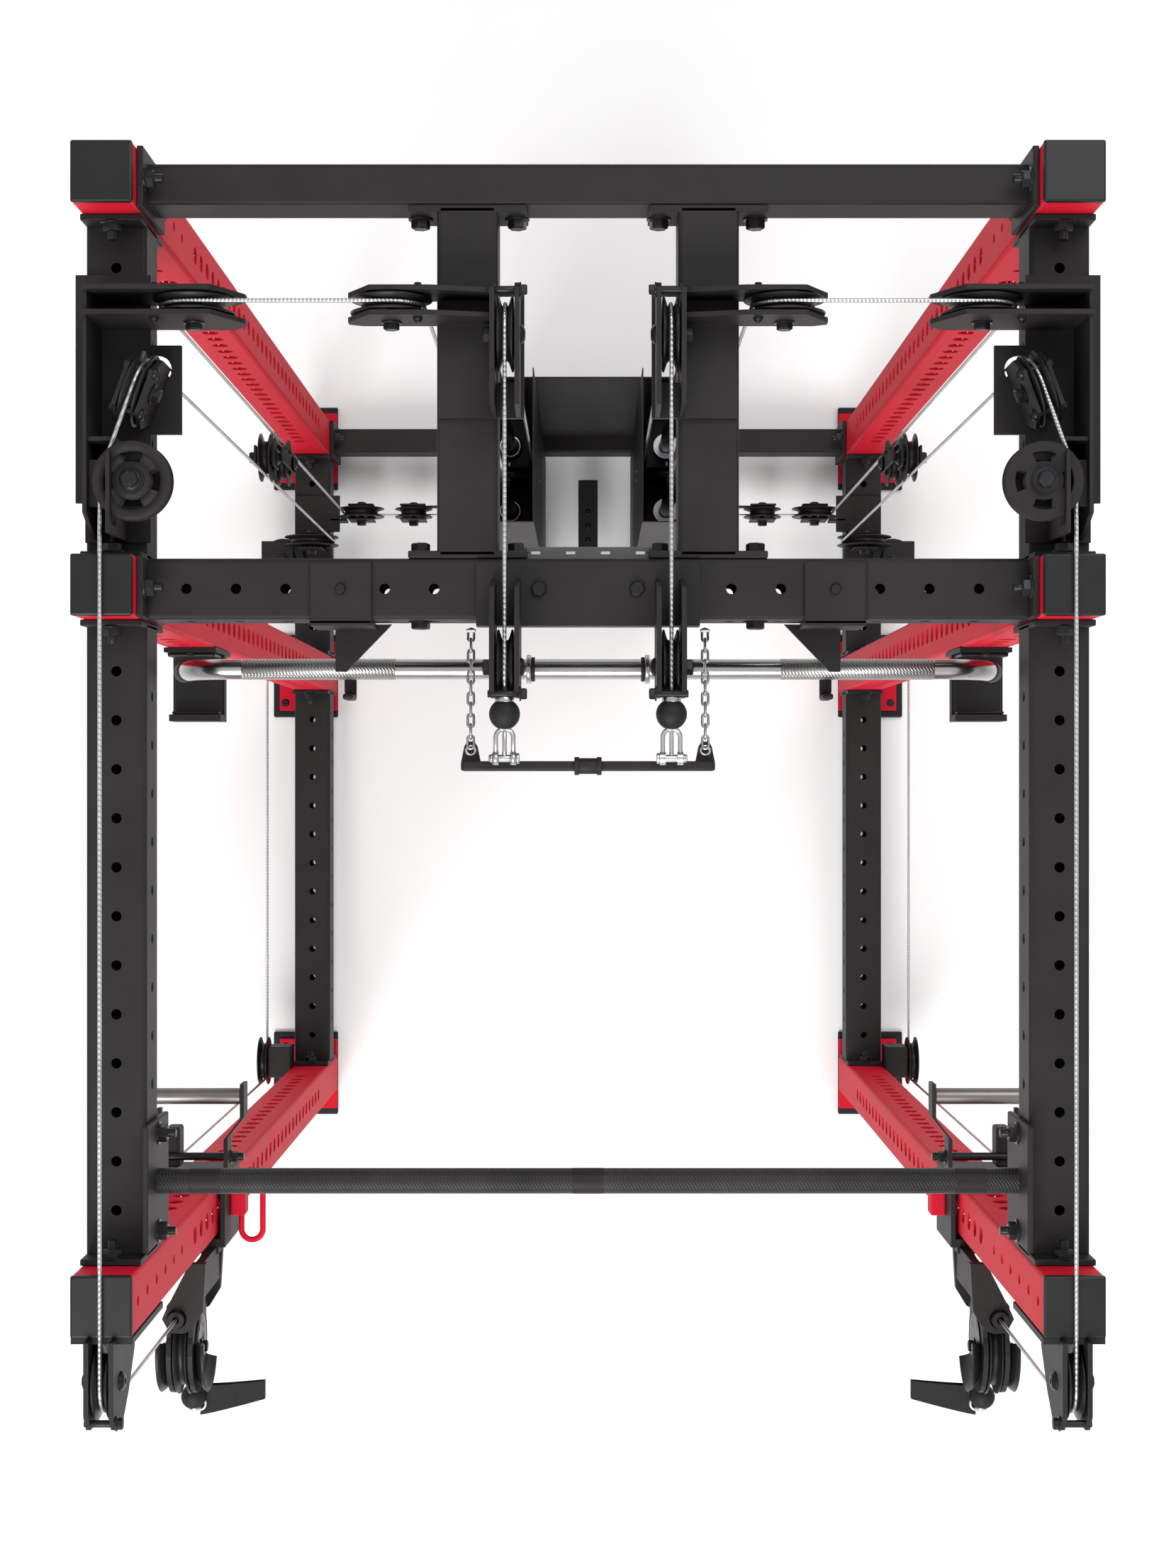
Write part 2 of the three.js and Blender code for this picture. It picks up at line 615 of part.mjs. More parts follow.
function spreaderBar() {
  const [y, z] = [SPREADER_Y, SPREADER_Z];
  const [reach, front, rear] = [154, y - 6, y + 6];
  const bar = box([-reach, front, z - 19], [reach, rear, z + 19]);
  const ears = [-EAR_X, EAR_X].map((x) => sheet('z', [
    [x - 12, rear - 1], [x + 12, rear - 1], [x + 12, rear + 3], [x + 8, rear + 24], [x - 8, rear + 24],
    [x - 12, rear + 3],
  ], z - 5, z + 5));
  const hub = rod('x', 10, 33, [0, y, z + 16], ROUND);
  const holes = [-EAR_X, EAR_X].map((x) => rod('z', 6, 20, [x, y + 17, z]));
  return cut(join(bar, hub, ...ears), ...holes);
}

function latBar() {
  const [y, z] = [154, 2050];
  const [straight, bend, bendAngle, tail] = [470, 60, 70, 40];
  const [grip, gripSides] = [13.5, 12];
  const right = arc([straight, y, z - bend], Z, X, bend, 0, bendAngle, 5);
  const fall = (bendAngle * Math.PI) / 180;
  const along = new THREE.Vector3(Math.cos(fall), 0, -Math.sin(fall));
  right.push(right[right.length - 1].clone().addScaledVector(along, tail));
  const left = right.map((point) => new THREE.Vector3(-point.x, point.y, point.z)).reverse();
  return sweep([...left, ...right], grip, gripSides);
}

function jCup() {
  const [x0, x1] = [-UPRIGHT_X - HALF - 1, -UPRIGHT_X + HALF + 1];
  const face = MIDDLE_Y - HALF - GAP;
  const [front, bottom] = [99, 1530];
  const back = box([x0, face - 7, bottom], [x1, face, bottom + 135]);
  const shelf = box([x0, front, bottom + 36], [x1, face, bottom + 56]);
  const lip = box([x0, front, bottom + 36], [x1, front + 10, bottom + 92]);
  return join(back, shelf, lip);
}

function addAttachments() {
  add('spreader_bar', 'black', spreaderBar());
  add('lat_bar', 'chrome', latBar());
  addPair('j_cup', 'black', jCup());
}

addFrame();
addTowers();
addPulleys();
addCarriages();
addCables();
addAttachments();

export default machine;
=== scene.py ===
"""Looks of the cable crossover machine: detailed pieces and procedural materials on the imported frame."""
import math

import bmesh
import bpy
from mathutils import Matrix, Vector


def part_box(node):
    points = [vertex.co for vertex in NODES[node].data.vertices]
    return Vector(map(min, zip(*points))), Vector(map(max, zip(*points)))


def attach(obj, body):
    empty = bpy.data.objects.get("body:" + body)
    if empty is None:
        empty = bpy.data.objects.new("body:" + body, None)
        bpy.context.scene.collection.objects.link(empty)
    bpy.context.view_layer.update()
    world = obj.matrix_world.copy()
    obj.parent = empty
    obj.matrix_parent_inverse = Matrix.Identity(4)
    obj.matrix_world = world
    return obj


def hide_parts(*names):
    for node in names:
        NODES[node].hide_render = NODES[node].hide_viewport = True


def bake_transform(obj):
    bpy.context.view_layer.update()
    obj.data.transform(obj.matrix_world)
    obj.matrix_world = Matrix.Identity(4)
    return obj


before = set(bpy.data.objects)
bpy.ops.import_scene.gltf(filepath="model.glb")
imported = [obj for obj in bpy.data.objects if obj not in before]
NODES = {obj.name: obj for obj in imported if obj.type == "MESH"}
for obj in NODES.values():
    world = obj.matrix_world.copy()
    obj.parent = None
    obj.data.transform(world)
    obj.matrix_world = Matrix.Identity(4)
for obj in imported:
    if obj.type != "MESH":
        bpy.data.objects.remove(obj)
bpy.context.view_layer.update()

MM = 0.001
SIDES = {"left": -1, "right": 1}

# Driving sizes, in millimetres
HALF = 37.5
WALL = 3.0
CORNER = 5.0
HEIGHT = 2286.0
UPRIGHT_X = 585.0
REAR_Y, MIDDLE_Y, FRONT_Y = 741.0, 244.0, -624.0
CROSS_Z, DEPTH_Z, BASE_Z, BASE_CROSS_Z = 2187.0, 2156.6, 120.5, 93.0
HOLE_PITCH = 60.8
PIN_PITCH = 50.8
BOLT_HOLE = 6.5
PIN_HOLE = 12.5
FIRST_BOLT_HOLE = 2247.8
FIRST_PIN_HOLE = 1839.0
BOLT_HOLES = 6
PIN_HOLES = 30
CROSS_HOLES = 17
FLAT_HALF = 25.0            # half the depth of the two rear crossmembers
END_GAP = 4.3               # from a beam's end to the upright beyond its end plate
PLATE = 4.0
CABLE_RADIUS = 2.5
M12 = 5.8                   # radius of a bolt or axle with its thread
SHARP = math.radians(32)    # edges that turn by more than this stay sharp

# Wheels: how far the rim and the groove's floor stand from the cable's own radius
RIM, LOW_RIM, GROOVE = 9.8, 7.5, 3.2
WHEEL_HALF = 9.8
CHEEK_REACH = 18.0

# Cable lines and the pulleys that turn them
TOP_CABLE_Z = 2292.0
TURN, WIDE_TURN, SIDE_TURN = 36.0, 40.0, 35.0
TOWER_X, TOWER_LINE_X = 148.0, 100.0
LAT_BALL_Y = 88.0
STACK_LINE_Y = 586.0
STACK_PULLEY, STACK_TURN = (-TOWER_X, STACK_LINE_Y, 720), 48
REAR_LINE_Y, REAR_PULLEY_Z = 584.0, 2250.0
CORNER_FLOOR, CORNER_FLOOR_TURN = (-481, REAR_LINE_Y, 150), 38
IDLE_FLOOR, IDLE_FLOOR_TURN = (-371, REAR_LINE_Y, 142), 30
REAR_CABLE_END_X = -208
SWIVEL = (-UPRIGHT_X, -814.0, 1690.0)
SWIVEL_TURN = 58.0
SWIVEL_AXIS_Y = -756.0
BALL_Y = -903.0
BALL = 18.7
DROP = (-533.0, 517.0)
DROP_TURN = 47
FLOOR_LINE_Z = 163.0
OUTER_LINE_X = -680.0
FRONT_FLOOR_Y, FRONT_FLOOR_TURN = -574, 40
CARRIAGE_CABLE_END_Z = 1540

# Towers, bars and levers
STACK_LOW, STACK_HEIGHT, STACK_PLATES = 160, 500, 20
GUIDE_ROD_YS = (526, 649)
PULLUP_BAR_Y, PULLUP_BAR = -494, 16
LAT_BAR_Y, LAT_BAR_Z, LAT_BAR = 154, 2050, 13.3
SPREADER_Y, SPREADER_Z = 26, 2256
LEVER_Y, LEVER_Z = -457, 1636
HOOK_X = (-318, -304)

low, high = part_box("front_upright_left")
SHIFT_Y = (low.y + high.y) / 2 / MM - FRONT_Y


def place(point):
    """A point in millimetres, measured from under the camera, to metres in the row frame."""
    return Vector((point[0] * MM, (point[1] + SHIFT_Y) * MM, point[2] * MM))


def add(name, data):
    """A new object in the scene."""
    made = bpy.data.objects.new(name, data)
    bpy.context.scene.collection.objects.link(made)
    return made


# Materials ---


def node(tree, kind, x, y, **inputs):
    """A shader node at (x, y), with the values of its inputs; _ stands for a space in their names."""
    made = tree.nodes.new("ShaderNode" + kind)
    made.location = (x, y)
    for name, value in inputs.items():
        made.inputs[name.replace("_", " ")].default_value = value
    return made


def surface(name, color, dark, roughness, metallic=0.0, grain=900.0, bump=0.08, edge=0.0008, gloss=0.25):
    """Colour that varies between two tones, uneven roughness, fine grain bump and softened edges."""
    material = bpy.data.materials.new(name)
    material.use_nodes = True
    tree = material.node_tree
    shader = tree.nodes["Principled BSDF"]
    shader.inputs["Metallic"].default_value = metallic
    shader.inputs["Specular IOR Level"].default_value = gloss
    space = node(tree, "TexCoord", -1200, 0)
    broad = node(tree, "TexNoise", -900, 200, Scale=9.0, Detail=4.0, Roughness=0.6)
    fine = node(tree, "TexNoise", -900, -200, Scale=grain, Detail=2.0)
    for noise in (broad, fine):
        tree.links.new(space.outputs["Object"], noise.inputs["Vector"])
    tones = node(tree, "ValToRGB", -600, 200)
    tones.color_ramp.elements[0].position = 0.3
    tones.color_ramp.elements[0].color = (*dark, 1)
    tones.color_ramp.elements[1].position = 0.7
    tones.color_ramp.elements[1].color = (*color, 1)
    tree.links.new(broad.outputs["Fac"], tones.inputs["Fac"])
    tree.links.new(tones.outputs["Color"], shader.inputs["Base Color"])
    shine = node(tree, "MapRange", -600, -50)
    shine.inputs["To Min"].default_value = roughness - 0.06
    shine.inputs["To Max"].default_value = roughness + 0.08
    tree.links.new(broad.outputs["Fac"], shine.inputs["Value"])
    tree.links.new(shine.outputs["Result"], shader.inputs["Roughness"])
    soft = node(tree, "Bevel", -600, -500, Radius=edge)
    relief = node(tree, "Bump", -300, -300, Strength=bump, Distance=0.0006)
    tree.links.new(fine.outputs["Fac"], relief.inputs["Height"])
    tree.links.new(soft.outputs["Normal"], relief.inputs["Normal"])
    tree.links.new(relief.outputs["Normal"], shader.inputs["Normal"])
    return material


def patterned(name, color, dark, roughness, metallic, kind, scale, strength):
    """A surface with a second, coarser relief: two waves crossed at 45 degrees, for braid, weave and
    knurling. kind is the axis that the waves run along."""
    material = surface(name, color, dark, roughness, metallic, bump=0.05, edge=0.0002)
    tree = material.node_tree
    shader = tree.nodes["Principled BSDF"]
    space = tree.nodes["Texture Coordinate"]
    waves = []
    for tilt in (45, -45):
        turn = node(tree, "Mapping", -1100, -700 + tilt)
        turn.inputs["Rotation"].default_value = (math.radians(tilt), math.radians(tilt), 0)
        wave = node(tree, "TexWave", -850, -700 + tilt, Scale=scale, Distortion=0.0)
        wave.bands_direction = kind
        tree.links.new(space.outputs["Object"], turn.inputs["Vector"])
        tree.links.new(turn.outputs["Vector"], wave.inputs["Vector"])
        waves.append(wave)
    both = node(tree, "Math", -600, -750)
    both.operation = "MULTIPLY"
    for index, wave in enumerate(waves):
        tree.links.new(wave.outputs["Fac"], both.inputs[index])
    relief = node(tree, "Bump", -200, -600, Strength=strength, Distance=0.0008)
    old = shader.inputs["Normal"].links[0].from_socket
    tree.links.new(both.outputs["Value"], relief.inputs["Height"])
    tree.links.new(old, relief.inputs["Normal"])
    tree.links.new(relief.outputs["Normal"], shader.inputs["Normal"])
    return material


RED = surface("red_powder_coat", (0.62, 0.012, 0.032), (0.55, 0.009, 0.025), 0.5, gloss=0.06)
BLACK = surface(
    "black_powder_coat", (0.021, 0.019, 0.019), (0.016, 0.0145, 0.0145), 0.5, bump=0.12, gloss=0.14,
)
PLASTIC = surface("moulded_black_plastic", (0.012, 0.012, 0.0125), (0.008, 0.008, 0.0085), 0.36, bump=0.05)
RUBBER = surface("black_rubber", (0.013, 0.013, 0.0135), (0.008, 0.008, 0.0085), 0.6, bump=0.2, grain=500)
IRON = surface("black_cast_plates", (0.02, 0.0195, 0.02), (0.014, 0.014, 0.014), 0.6, bump=0.3, grain=400)
# Black oxide for bolts, nuts and pins; the same dark colour is also painted on as shade where holes are
# not cut.
OXIDE_AND_HOLE_SHADE = surface("black_oxide_bolts_and_hole_shade", (0.022, 0.022, 0.024), (0.013, 0.013, 0.014), 0.32, 0.4, bump=0.05)
GREY = surface("grey_plate", (0.13, 0.13, 0.135), (0.10, 0.10, 0.105), 0.5, 0.3, bump=0.05)
ZINC = surface("zinc_plate", (0.58, 0.59, 0.6), (0.44, 0.45, 0.46), 0.3, 0.95, bump=0.04, gloss=0.5)
STEEL = surface("ground_steel", (0.5, 0.51, 0.52), (0.4, 0.41, 0.42), 0.22, 1.0, bump=0.02, gloss=0.5)
CHROME = surface("chrome", (0.42, 0.415, 0.41), (0.37, 0.365, 0.36), 0.2, 1.0, bump=0.0, gloss=0.5)
SATIN = surface("satin_lever_steel", (0.24, 0.23, 0.225), (0.18, 0.172, 0.168), 0.34, 0.9, bump=0.02)
KNURL = patterned("chrome_knurl", (0.38, 0.375, 0.37), (0.3, 0.295, 0.29), 0.3, 1.0, "X", 105.0, 0.8)
BLACK_KNURL = patterned(
    "black_knurl", (0.04, 0.038, 0.038), (0.022, 0.021, 0.021), 0.4, 0.4, "X", 105.0, 1.0,
)
BRAID = patterned("braided_cable", (0.6, 0.61, 0.62), (0.42, 0.43, 0.44), 0.32, 0.9, "Z", 95.0, 0.6)
WEBBING = patterned(
    "black_webbing", (0.018, 0.018, 0.0185), (0.011, 0.011, 0.0115), 0.7, 0.0, "Z", 130.0, 0.6,
)
# What a piece calls each look: its material, and the record's slot
LOOKS = {
    "red": (RED, "red_paint"),
    "black": (BLACK, "black_paint"),
    "plastic": (PLASTIC, "pulley_plastic"),
    "rubber": (RUBBER, "rubber_black"),
    "iron": (IRON, "stack_iron"),
    "oxide_and_hole_shade": (OXIDE_AND_HOLE_SHADE, "black_paint"),
    "grey": (GREY, "black_paint"),
    "zinc": (ZINC, "zinc"),
    "satin": (SATIN, "chrome"),
    "steel": (STEEL, "rod_steel"),
    "chrome": (CHROME, "chrome"),
    "knurl": (KNURL, "chrome"),
    "black_knurl": (BLACK_KNURL, "black_paint"),
    "braid": (BRAID, "cable_steel"),
    "webbing": (WEBBING, "webbing"),
}


# Mesh building ---

X, Y, Z = Vector((1, 0, 0)), Vector((0, 1, 0)), Vector((0, 0, 1))
TIP = 0.01    # radius of the pinhole that a solid of revolution keeps on its axis


class Piece:
    """One object, gathered from simple shapes in millimetres on the left, and mirrored if side is 1."""

    def __init__(self, name, looks, side=-1):
        self.name = name
        self.looks = looks
        self.side = side
        self.mesh = bmesh.new()

    def paint(self, faces, look, smooth=False):
        index = self.looks.index(look)
        for face in faces:
            face.material_index = index
            face.smooth = smooth

    def slab(self, low, high, look="black", bevel=1.5):
        """A box with rounded edges."""
        middle = (Vector(low) + Vector(high)) / 2
        size = Vector(high) - Vector(low)
        grow = Matrix.Diagonal((*size, 1))
        made = bmesh.ops.create_cube(self.mesh, size=1, matrix=grow)
        corners = made["verts"]
        if bevel:
            edges = list({edge for vert in corners for edge in vert.link_edges})
            reach = min(bevel, min(size) * 0.4)
            cut = bmesh.ops.bevel(
                self.mesh, geom=edges, offset=reach, segments=2, profile=0.5, affect="EDGES"
            )
            rounded = {vert for face in cut["faces"] for vert in face.verts}
            corners = list(rounded | {vert for vert in corners if vert.is_valid})
        bmesh.ops.translate(self.mesh, vec=middle, verts=corners)
        self.paint({face for vert in corners for face in vert.link_faces}, look)

    def turned(self, centre, axis, profile, look, sides=40, smooth=True, span=None):
        """A solid of revolution; profile is (radius, along) pairs, closed on itself. span is the part
        of a turn to make: the direction of its middle, and the degrees to either side."""
        along = Vector(axis).normalized()
        across = Vector(span[0]) if span else along.orthogonal().normalized()
        third = along.cross(across)
        count = sides + 1 if span else sides
        rings = []
        for radius, height in profile:
            ring = []
            for index in range(count):
                angle = 2 * math.pi * index / sides
                if span:
                    angle = math.radians(span[1]) * (2 * index / sides - 1)
                out = across * math.cos(angle) + third * math.sin(angle)
                ring.append(self.mesh.verts.new(Vector(centre) + along * height + out * radius))
            rings.append(ring)
        faces = []
        for first, second in zip(rings, rings[1:] + rings[:1]):
            for index in range(sides):
                after = (index + 1) % count
                corners = (first[index], first[after], second[after], second[index])
                faces.append(self.mesh.faces.new(corners))
        if span:
            faces.append(self.mesh.faces.new([ring[0] for ring in reversed(rings)]))
            faces.append(self.mesh.faces.new([ring[-1] for ring in rings]))
        self.paint(faces, look, smooth)

    def prism(self, outline, low, high, look):
        """An upright prism on an outline of (x, y) corners."""
        floor = [self.mesh.verts.new((x, y, low)) for x, y in outline]
        lid = [self.mesh.verts.new((x, y, high)) for x, y in outline]
        faces = [self.mesh.faces.new(list(reversed(floor))), self.mesh.faces.new(lid)]
        for index in range(len(outline)):
            after = (index + 1) % len(outline)
            faces.append(self.mesh.faces.new((floor[index], floor[after], lid[after], lid[index])))
        self.paint(faces, look)

    def ribbon(self, points, widths, thick, look):
        """A closed band through a loop of points, its width at each of them lying along Y."""
        count = len(points)
        rings = []
        for index, point in enumerate(points):
            ahead, behind = Vector(points[(index + 1) % count]), Vector(points[index - 1])
            normal = (ahead - behind).cross(Y).normalized() * thick / 2
            half = Y * widths[index] / 2
            middle = Vector(point)
            section = (-half - normal, half - normal, half + normal, -half + normal)
            rings.append([self.mesh.verts.new(middle + corner) for corner in section])
        faces = []
        for first, second in zip(rings, rings[1:] + rings[:1]):
            for step in range(4):
                after = (step + 1) % 4
                faces.append(self.mesh.faces.new((first[step], first[after], second[after], second[step])))
        self.paint(faces, look)

    def stud(self, point, axis, size=11.5, length=22):
        """A nut on its washer with the end of a threaded stud standing out of it."""
        self.bolt(point, axis, size, 10)
        thread = 5.6
        self.rod(point, Vector(point) + Vector(axis) * length, thread, "oxide_and_hole_shade", 16)

    def rod(self, start, end, radius, look, sides=24, chamfer=0.8):
        """A round bar with chamfered ends."""
        start, end = Vector(start), Vector(end)
        length = (end - start).length
        edge = min(chamfer, radius * 0.5)
        profile = [
            (TIP, 0), (radius - edge, 0), (radius, edge), (radius, length - edge),
            (radius - edge, length), (TIP, length),
        ]
        self.turned(start, end - start, profile, look, sides)

    def tube(self, points, radius, look, sides=12, closed=False):
        """A round section swept along points."""
        points = [Vector(point) for point in points]
        count = len(points)
        normal = None
        rings = []
        for index, point in enumerate(points):
            if closed:
                ahead, behind = points[(index + 1) % count], points[index - 1]
            else:
                ahead, behind = points[min(index + 1, count - 1)], points[max(index - 1, 0)]
            tangent = (ahead - behind).normalized()
            if normal is None:
                normal = tangent.orthogonal().normalized()
            normal = (normal - tangent * normal.dot(tangent)).normalized()
            other = tangent.cross(normal)
            ring = []
            for step in range(sides):
                angle = 2 * math.pi * step / sides
                out = normal * math.cos(angle) + other * math.sin(angle)
                ring.append(self.mesh.verts.new(point + out * radius))
            rings.append(ring)
        faces = []
        pairs = list(zip(rings, rings[1:]))
        if closed:
            pairs.append((rings[-1], rings[0]))
        for first, second in pairs:
            for step in range(sides):
                after = (step + 1) % sides
                faces.append(self.mesh.faces.new((first[step], first[after], second[after], second[step])))
        if not closed:
            faces.append(self.mesh.faces.new(list(reversed(rings[0]))))
            faces.append(self.mesh.faces.new(rings[-1]))
        self.paint(faces, look, True)

    def bolt(self, point, axis, size=11.0, height=8.0, washer=True):
        """A hexagon head on its washer, standing on a face at point along axis."""
        along = Vector(axis).normalized()
        base = Vector(point)
        if washer:
            thick, reach = 2.0, size * 1.28
            ring = [(TIP, 0), (reach, 0), (reach, thick - 0.2), (TIP, thick)]
            self.turned(base, along, ring, "oxide_and_hole_shade", 24)
            base = base + along * thick
        head = [(TIP, 0), (size, 0), (size, height - 1.5), (size * 0.82, height), (TIP, height)]
        self.turned(base, along, head, "oxide_and_hole_shade", 6, smooth=False)

    def dome(self, point, axis, radius=13.0):
        """A button head with a socket, standing on a face at point along axis."""
        profile = [
            (TIP, 2.2), (3.8, 2.2), (4.2, 5.8), (radius * 0.55, 5.9), (radius * 0.85, 3.6),
            (radius, 0.8), (radius, 0), (TIP, 0),
        ]
        self.turned(point, axis, profile, "oxide_and_hole_shade", 24)

    def disc(self, centre, axis, radius, look, thick=0.4, sides=20):
        """A thin round mark on a face; in the dark bolt look it is painted shade, standing for the shaded
        inside of a hole that is not cut.
        """
        self.turned(centre, axis, [(TIP, 0), (radius, 0), (radius, thick), (TIP, thick)], look, sides)

    def washer(self, centre, axis, inner, outer, low, high, look, sides):
        """A flat ring from low to high along its axis."""
        ring = [(inner, low), (outer, low), (outer, high), (inner, high)]
        self.turned(centre, axis, ring, look, sides)

    def finish(self, body, replaced=(), blend=None):
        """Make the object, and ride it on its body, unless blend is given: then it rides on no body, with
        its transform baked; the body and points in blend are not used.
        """
        if self.side > 0:
            for vert in self.mesh.verts:
                vert.co.x = -vert.co.x
            bmesh.ops.reverse_faces(self.mesh, faces=self.mesh.faces)
        for vert in self.mesh.verts:
            vert.co = place(vert.co)
        for edge in self.mesh.edges:
            edge.smooth = edge.calc_face_angle(0) < SHARP
        data = bpy.data.meshes.new(self.name)
        self.mesh.to_mesh(data)
        self.mesh.free()
        for look in self.looks:
            data.materials.append(LOOKS[look][0])
        made = add(self.name, data)
        if blend:
            other, start, end = blend
            start, end = (place((-self.side * x, y, z)) for x, y, z in (start, end))
            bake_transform(made)
        else:
            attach(made, body)
        if replaced:
            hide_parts(*replaced)
        return made


def arc(centre, u, v, radius, start, end, steps):
    """Points about centre from angle start to angle end, in degrees from u towards v."""
    points = []
    for step in range(steps + 1):
        angle = math.radians(start + (end - start) * step / steps)
        out = Vector(u) * radius * math.cos(angle) + Vector(v) * radius * math.sin(angle)
        points.append(Vector(centre) + out)
    return points


# Perforated square tubes ---


def holed_face(piece, origin, along, across, out, length, half, holes, look):
    """A flat strip along a tube with round holes. holes is a sorted list of (distance, radius)."""
    faces = []

    def corner(distance, offset):
        return piece.mesh.verts.new(origin + along * distance + across * offset)

    def plain(start, end):
        if end - start > 0.01:
            quad = (corner(start, -half), corner(end, -half), corner(end, half), corner(start, half))
            faces.append(piece.mesh.faces.new(quad))

    reached = 0.0
    sides = 24
    for middle, radius in holes:
        reach = min(half, HOLE_PITCH / 2.4, PIN_PITCH / 2.01)
        start, end = middle - reach, middle + reach
        if start < reached:
            start = reached
        plain(reached, start)
        reached = end
        rim, edge, inner = [], [], []
        for index in range(sides):
            angle = 2 * math.pi * (index + 0.5) / sides
            x, y = math.cos(angle), math.sin(angle)
            rim.append(corner(middle + radius * x, radius * y))
            inner.append(rim[-1].co - out * WALL)
            reach_x = (end - middle) if x > 0 else (middle - start)
            far = min(reach_x / abs(x), half / abs(y))
            edge.append([middle + far * x, far * y])
        for spot in ((end, half), (start, half), (start, -half), (end, -half)):
            nearest = min(edge, key=lambda e: (e[0] - spot[0]) ** 2 + (e[1] - spot[1]) ** 2)
            nearest[:] = spot
        edge = [corner(*spot) for spot in edge]
        inner = [piece.mesh.verts.new(spot) for spot in inner]
        for index in range(sides):
            after = (index + 1) % sides
            faces.append(piece.mesh.faces.new((edge[index], edge[after], rim[after], rim[index])))
            faces.append(piece.mesh.faces.new((rim[index], rim[after], inner[after], inner[index])))
    plain(reached, length)
    piece.paint(faces, look)


def square_tube(piece, start, end, half_u, half_v, holes_u, holes_v, look):
    """A tube between two points with rounded corners; holes_u are on the faces across u, and so on."""
    start, end = Vector(start), Vector(end)
    along = (end - start).normalized()
    length = (end - start).length
    u = Y if abs(along.x) > 0.5 else X
    v = Y if abs(along.z) > 0.5 else Z
    for normal, across, reach, width, holes in (
        (u, v, half_u, half_v, holes_u), (v, u, half_v, half_u, holes_v),
    ):
        for sign in (-1, 1):
            origin = start + normal * reach * sign
            holed_face(piece, origin, along, across, normal * sign, length, width - CORNER, holes, look)
    steps = 5
    for side_u in (-1, 1):
        for side_v in (-1, 1):
            middle = u * side_u * (half_u - CORNER) + v * side_v * (half_v - CORNER)
            ends = []
            for origin in (start, end):
                ends.append([
                    piece.mesh.verts.new(spot)
                    for spot in arc(origin + middle, u * side_u, v * side_v, CORNER, 0, 90, steps)
                ])
            faces = [
                piece.mesh.faces.new((ends[0][i], ends[1][i], ends[1][i + 1], ends[0][i + 1]))
                for i in range(steps)
            ]
            piece.paint(faces, look, True)


def bolt_row(first, count):
    """Bolt holes along a tube, as holed_face wants them."""
    return [(first + HOLE_PITCH * index, BOLT_HOLE) for index in range(count)]


def make_upright(name, y, side):
    """An upright with its bolt and pin holes, cap, foot plate and rubber pad."""
    piece = Piece(f"{name}_upright_{side}_look", ["red", "plastic", "rubber", "oxide_and_hole_shade"], SIDES[side])
    x = -UPRIGHT_X
    cap = 6
    top = HEIGHT - cap
    base = 16.0
    pad_top, plate_top = 10.5, 17.8
    small = [(FIRST_BOLT_HOLE - HOLE_PITCH * i - base, BOLT_HOLE) for i in range(BOLT_HOLES)]
    offset = [(FIRST_BOLT_HOLE - HOLE_PITCH * (i + 0.5) - base, BOLT_HOLE) for i in range(BOLT_HOLES)]
    pins = [(FIRST_PIN_HOLE - PIN_PITCH * i - base, PIN_HOLE) for i in range(PIN_HOLES)]
    square_tube(
        piece, (x, y, base), (x, y, top), HALF, HALF, sorted(small + pins), sorted(offset + pins), "red"
    )
    piece.slab((x - 37.3, y - 37.3, top - 2), (x + 37.3, y + 37.3, HEIGHT), "plastic", 2.5)
    piece.slab((x - 88, y - 76, pad_top - 0.5), (x + 37.6, y + 76, plate_top), "red", 2)
    piece.slab((x - 102, y - 90, 0.2), (x + 38, y + 90, pad_top), "rubber", 3)
    # Painted shade: dark discs on the foot plate stand for its two holes, which are not cut; the black pad
    # under them is dark too.
    for hole_y in (-59, 59):
        piece.disc((x - 75, y + hole_y, plate_top + 0.1), Z, 8.5, "oxide_and_hole_shade", sides=24)
    piece.finish("root", [f"{name}_upright_{side}"])


def end_plate(piece, axis, spot, out):
    """A beam's flange plate with its two studs; out is +1 or -1 along axis, to the side of the nuts."""
    size = Vector((75, 75, 146)) / 2
    size[axis] = PLATE
    piece.slab(Vector(spot) - size, Vector(spot) + size)
    direction = Vector((0, 0, 0))
    direction[axis] = out
    for height in (HOLE_PITCH, -HOLE_PITCH):
        piece.stud(Vector(spot) + Z * height + direction * PLATE, direction)


def make_cross(name, y, z, half_y, holed):
    """A crossmember between two uprights."""
    piece = Piece(f"{name}_look", ["black", "oxide_and_hole_shade"])
    reach = UPRIGHT_X - HALF - END_GAP
    holes = bolt_row(HOLE_PITCH / 2 + 20, CROSS_HOLES) if holed else []
    square_tube(piece, (-reach, y, z), (reach, y, z), half_y, HALF, holes, holes, "black")
    for sign in (-1, 1):
        end_plate(piece, 0, (sign * reach, y, z), -sign)
        for height in (HOLE_PITCH, -HOLE_PITCH):
            piece.dome((sign * (UPRIGHT_X + HALF), y, z + height), (sign, 0, 0))
    piece.finish("root", [name])


def make_depth(name, front_y, rear_y, z, side):
    """A beam from a front upright to the one behind it, with as many bolt holes as it has room for."""
    piece = Piece(f"{name}_{side}_look", ["black", "oxide_and_hole_shade"], SIDES[side])
    start, end = front_y + HALF + END_GAP, rear_y - HALF - END_GAP
    clear_ends = 60
    count = int((end - start - clear_ends) / HOLE_PITCH) + 1
    first = (end - start - (count - 1) * HOLE_PITCH) / 2
    inner = bolt_row(first + HOLE_PITCH / 2, count - 1)
    top = bolt_row(first, count)
    x = -UPRIGHT_X
    square_tube(piece, (x, start, z), (x, end, z), HALF, HALF, inner, top, "black")
    end_plate(piece, 1, (x, start, z), 1)
    end_plate(piece, 1, (x, end, z), -1)
    piece.finish("root", [f"{name}_{side}"])


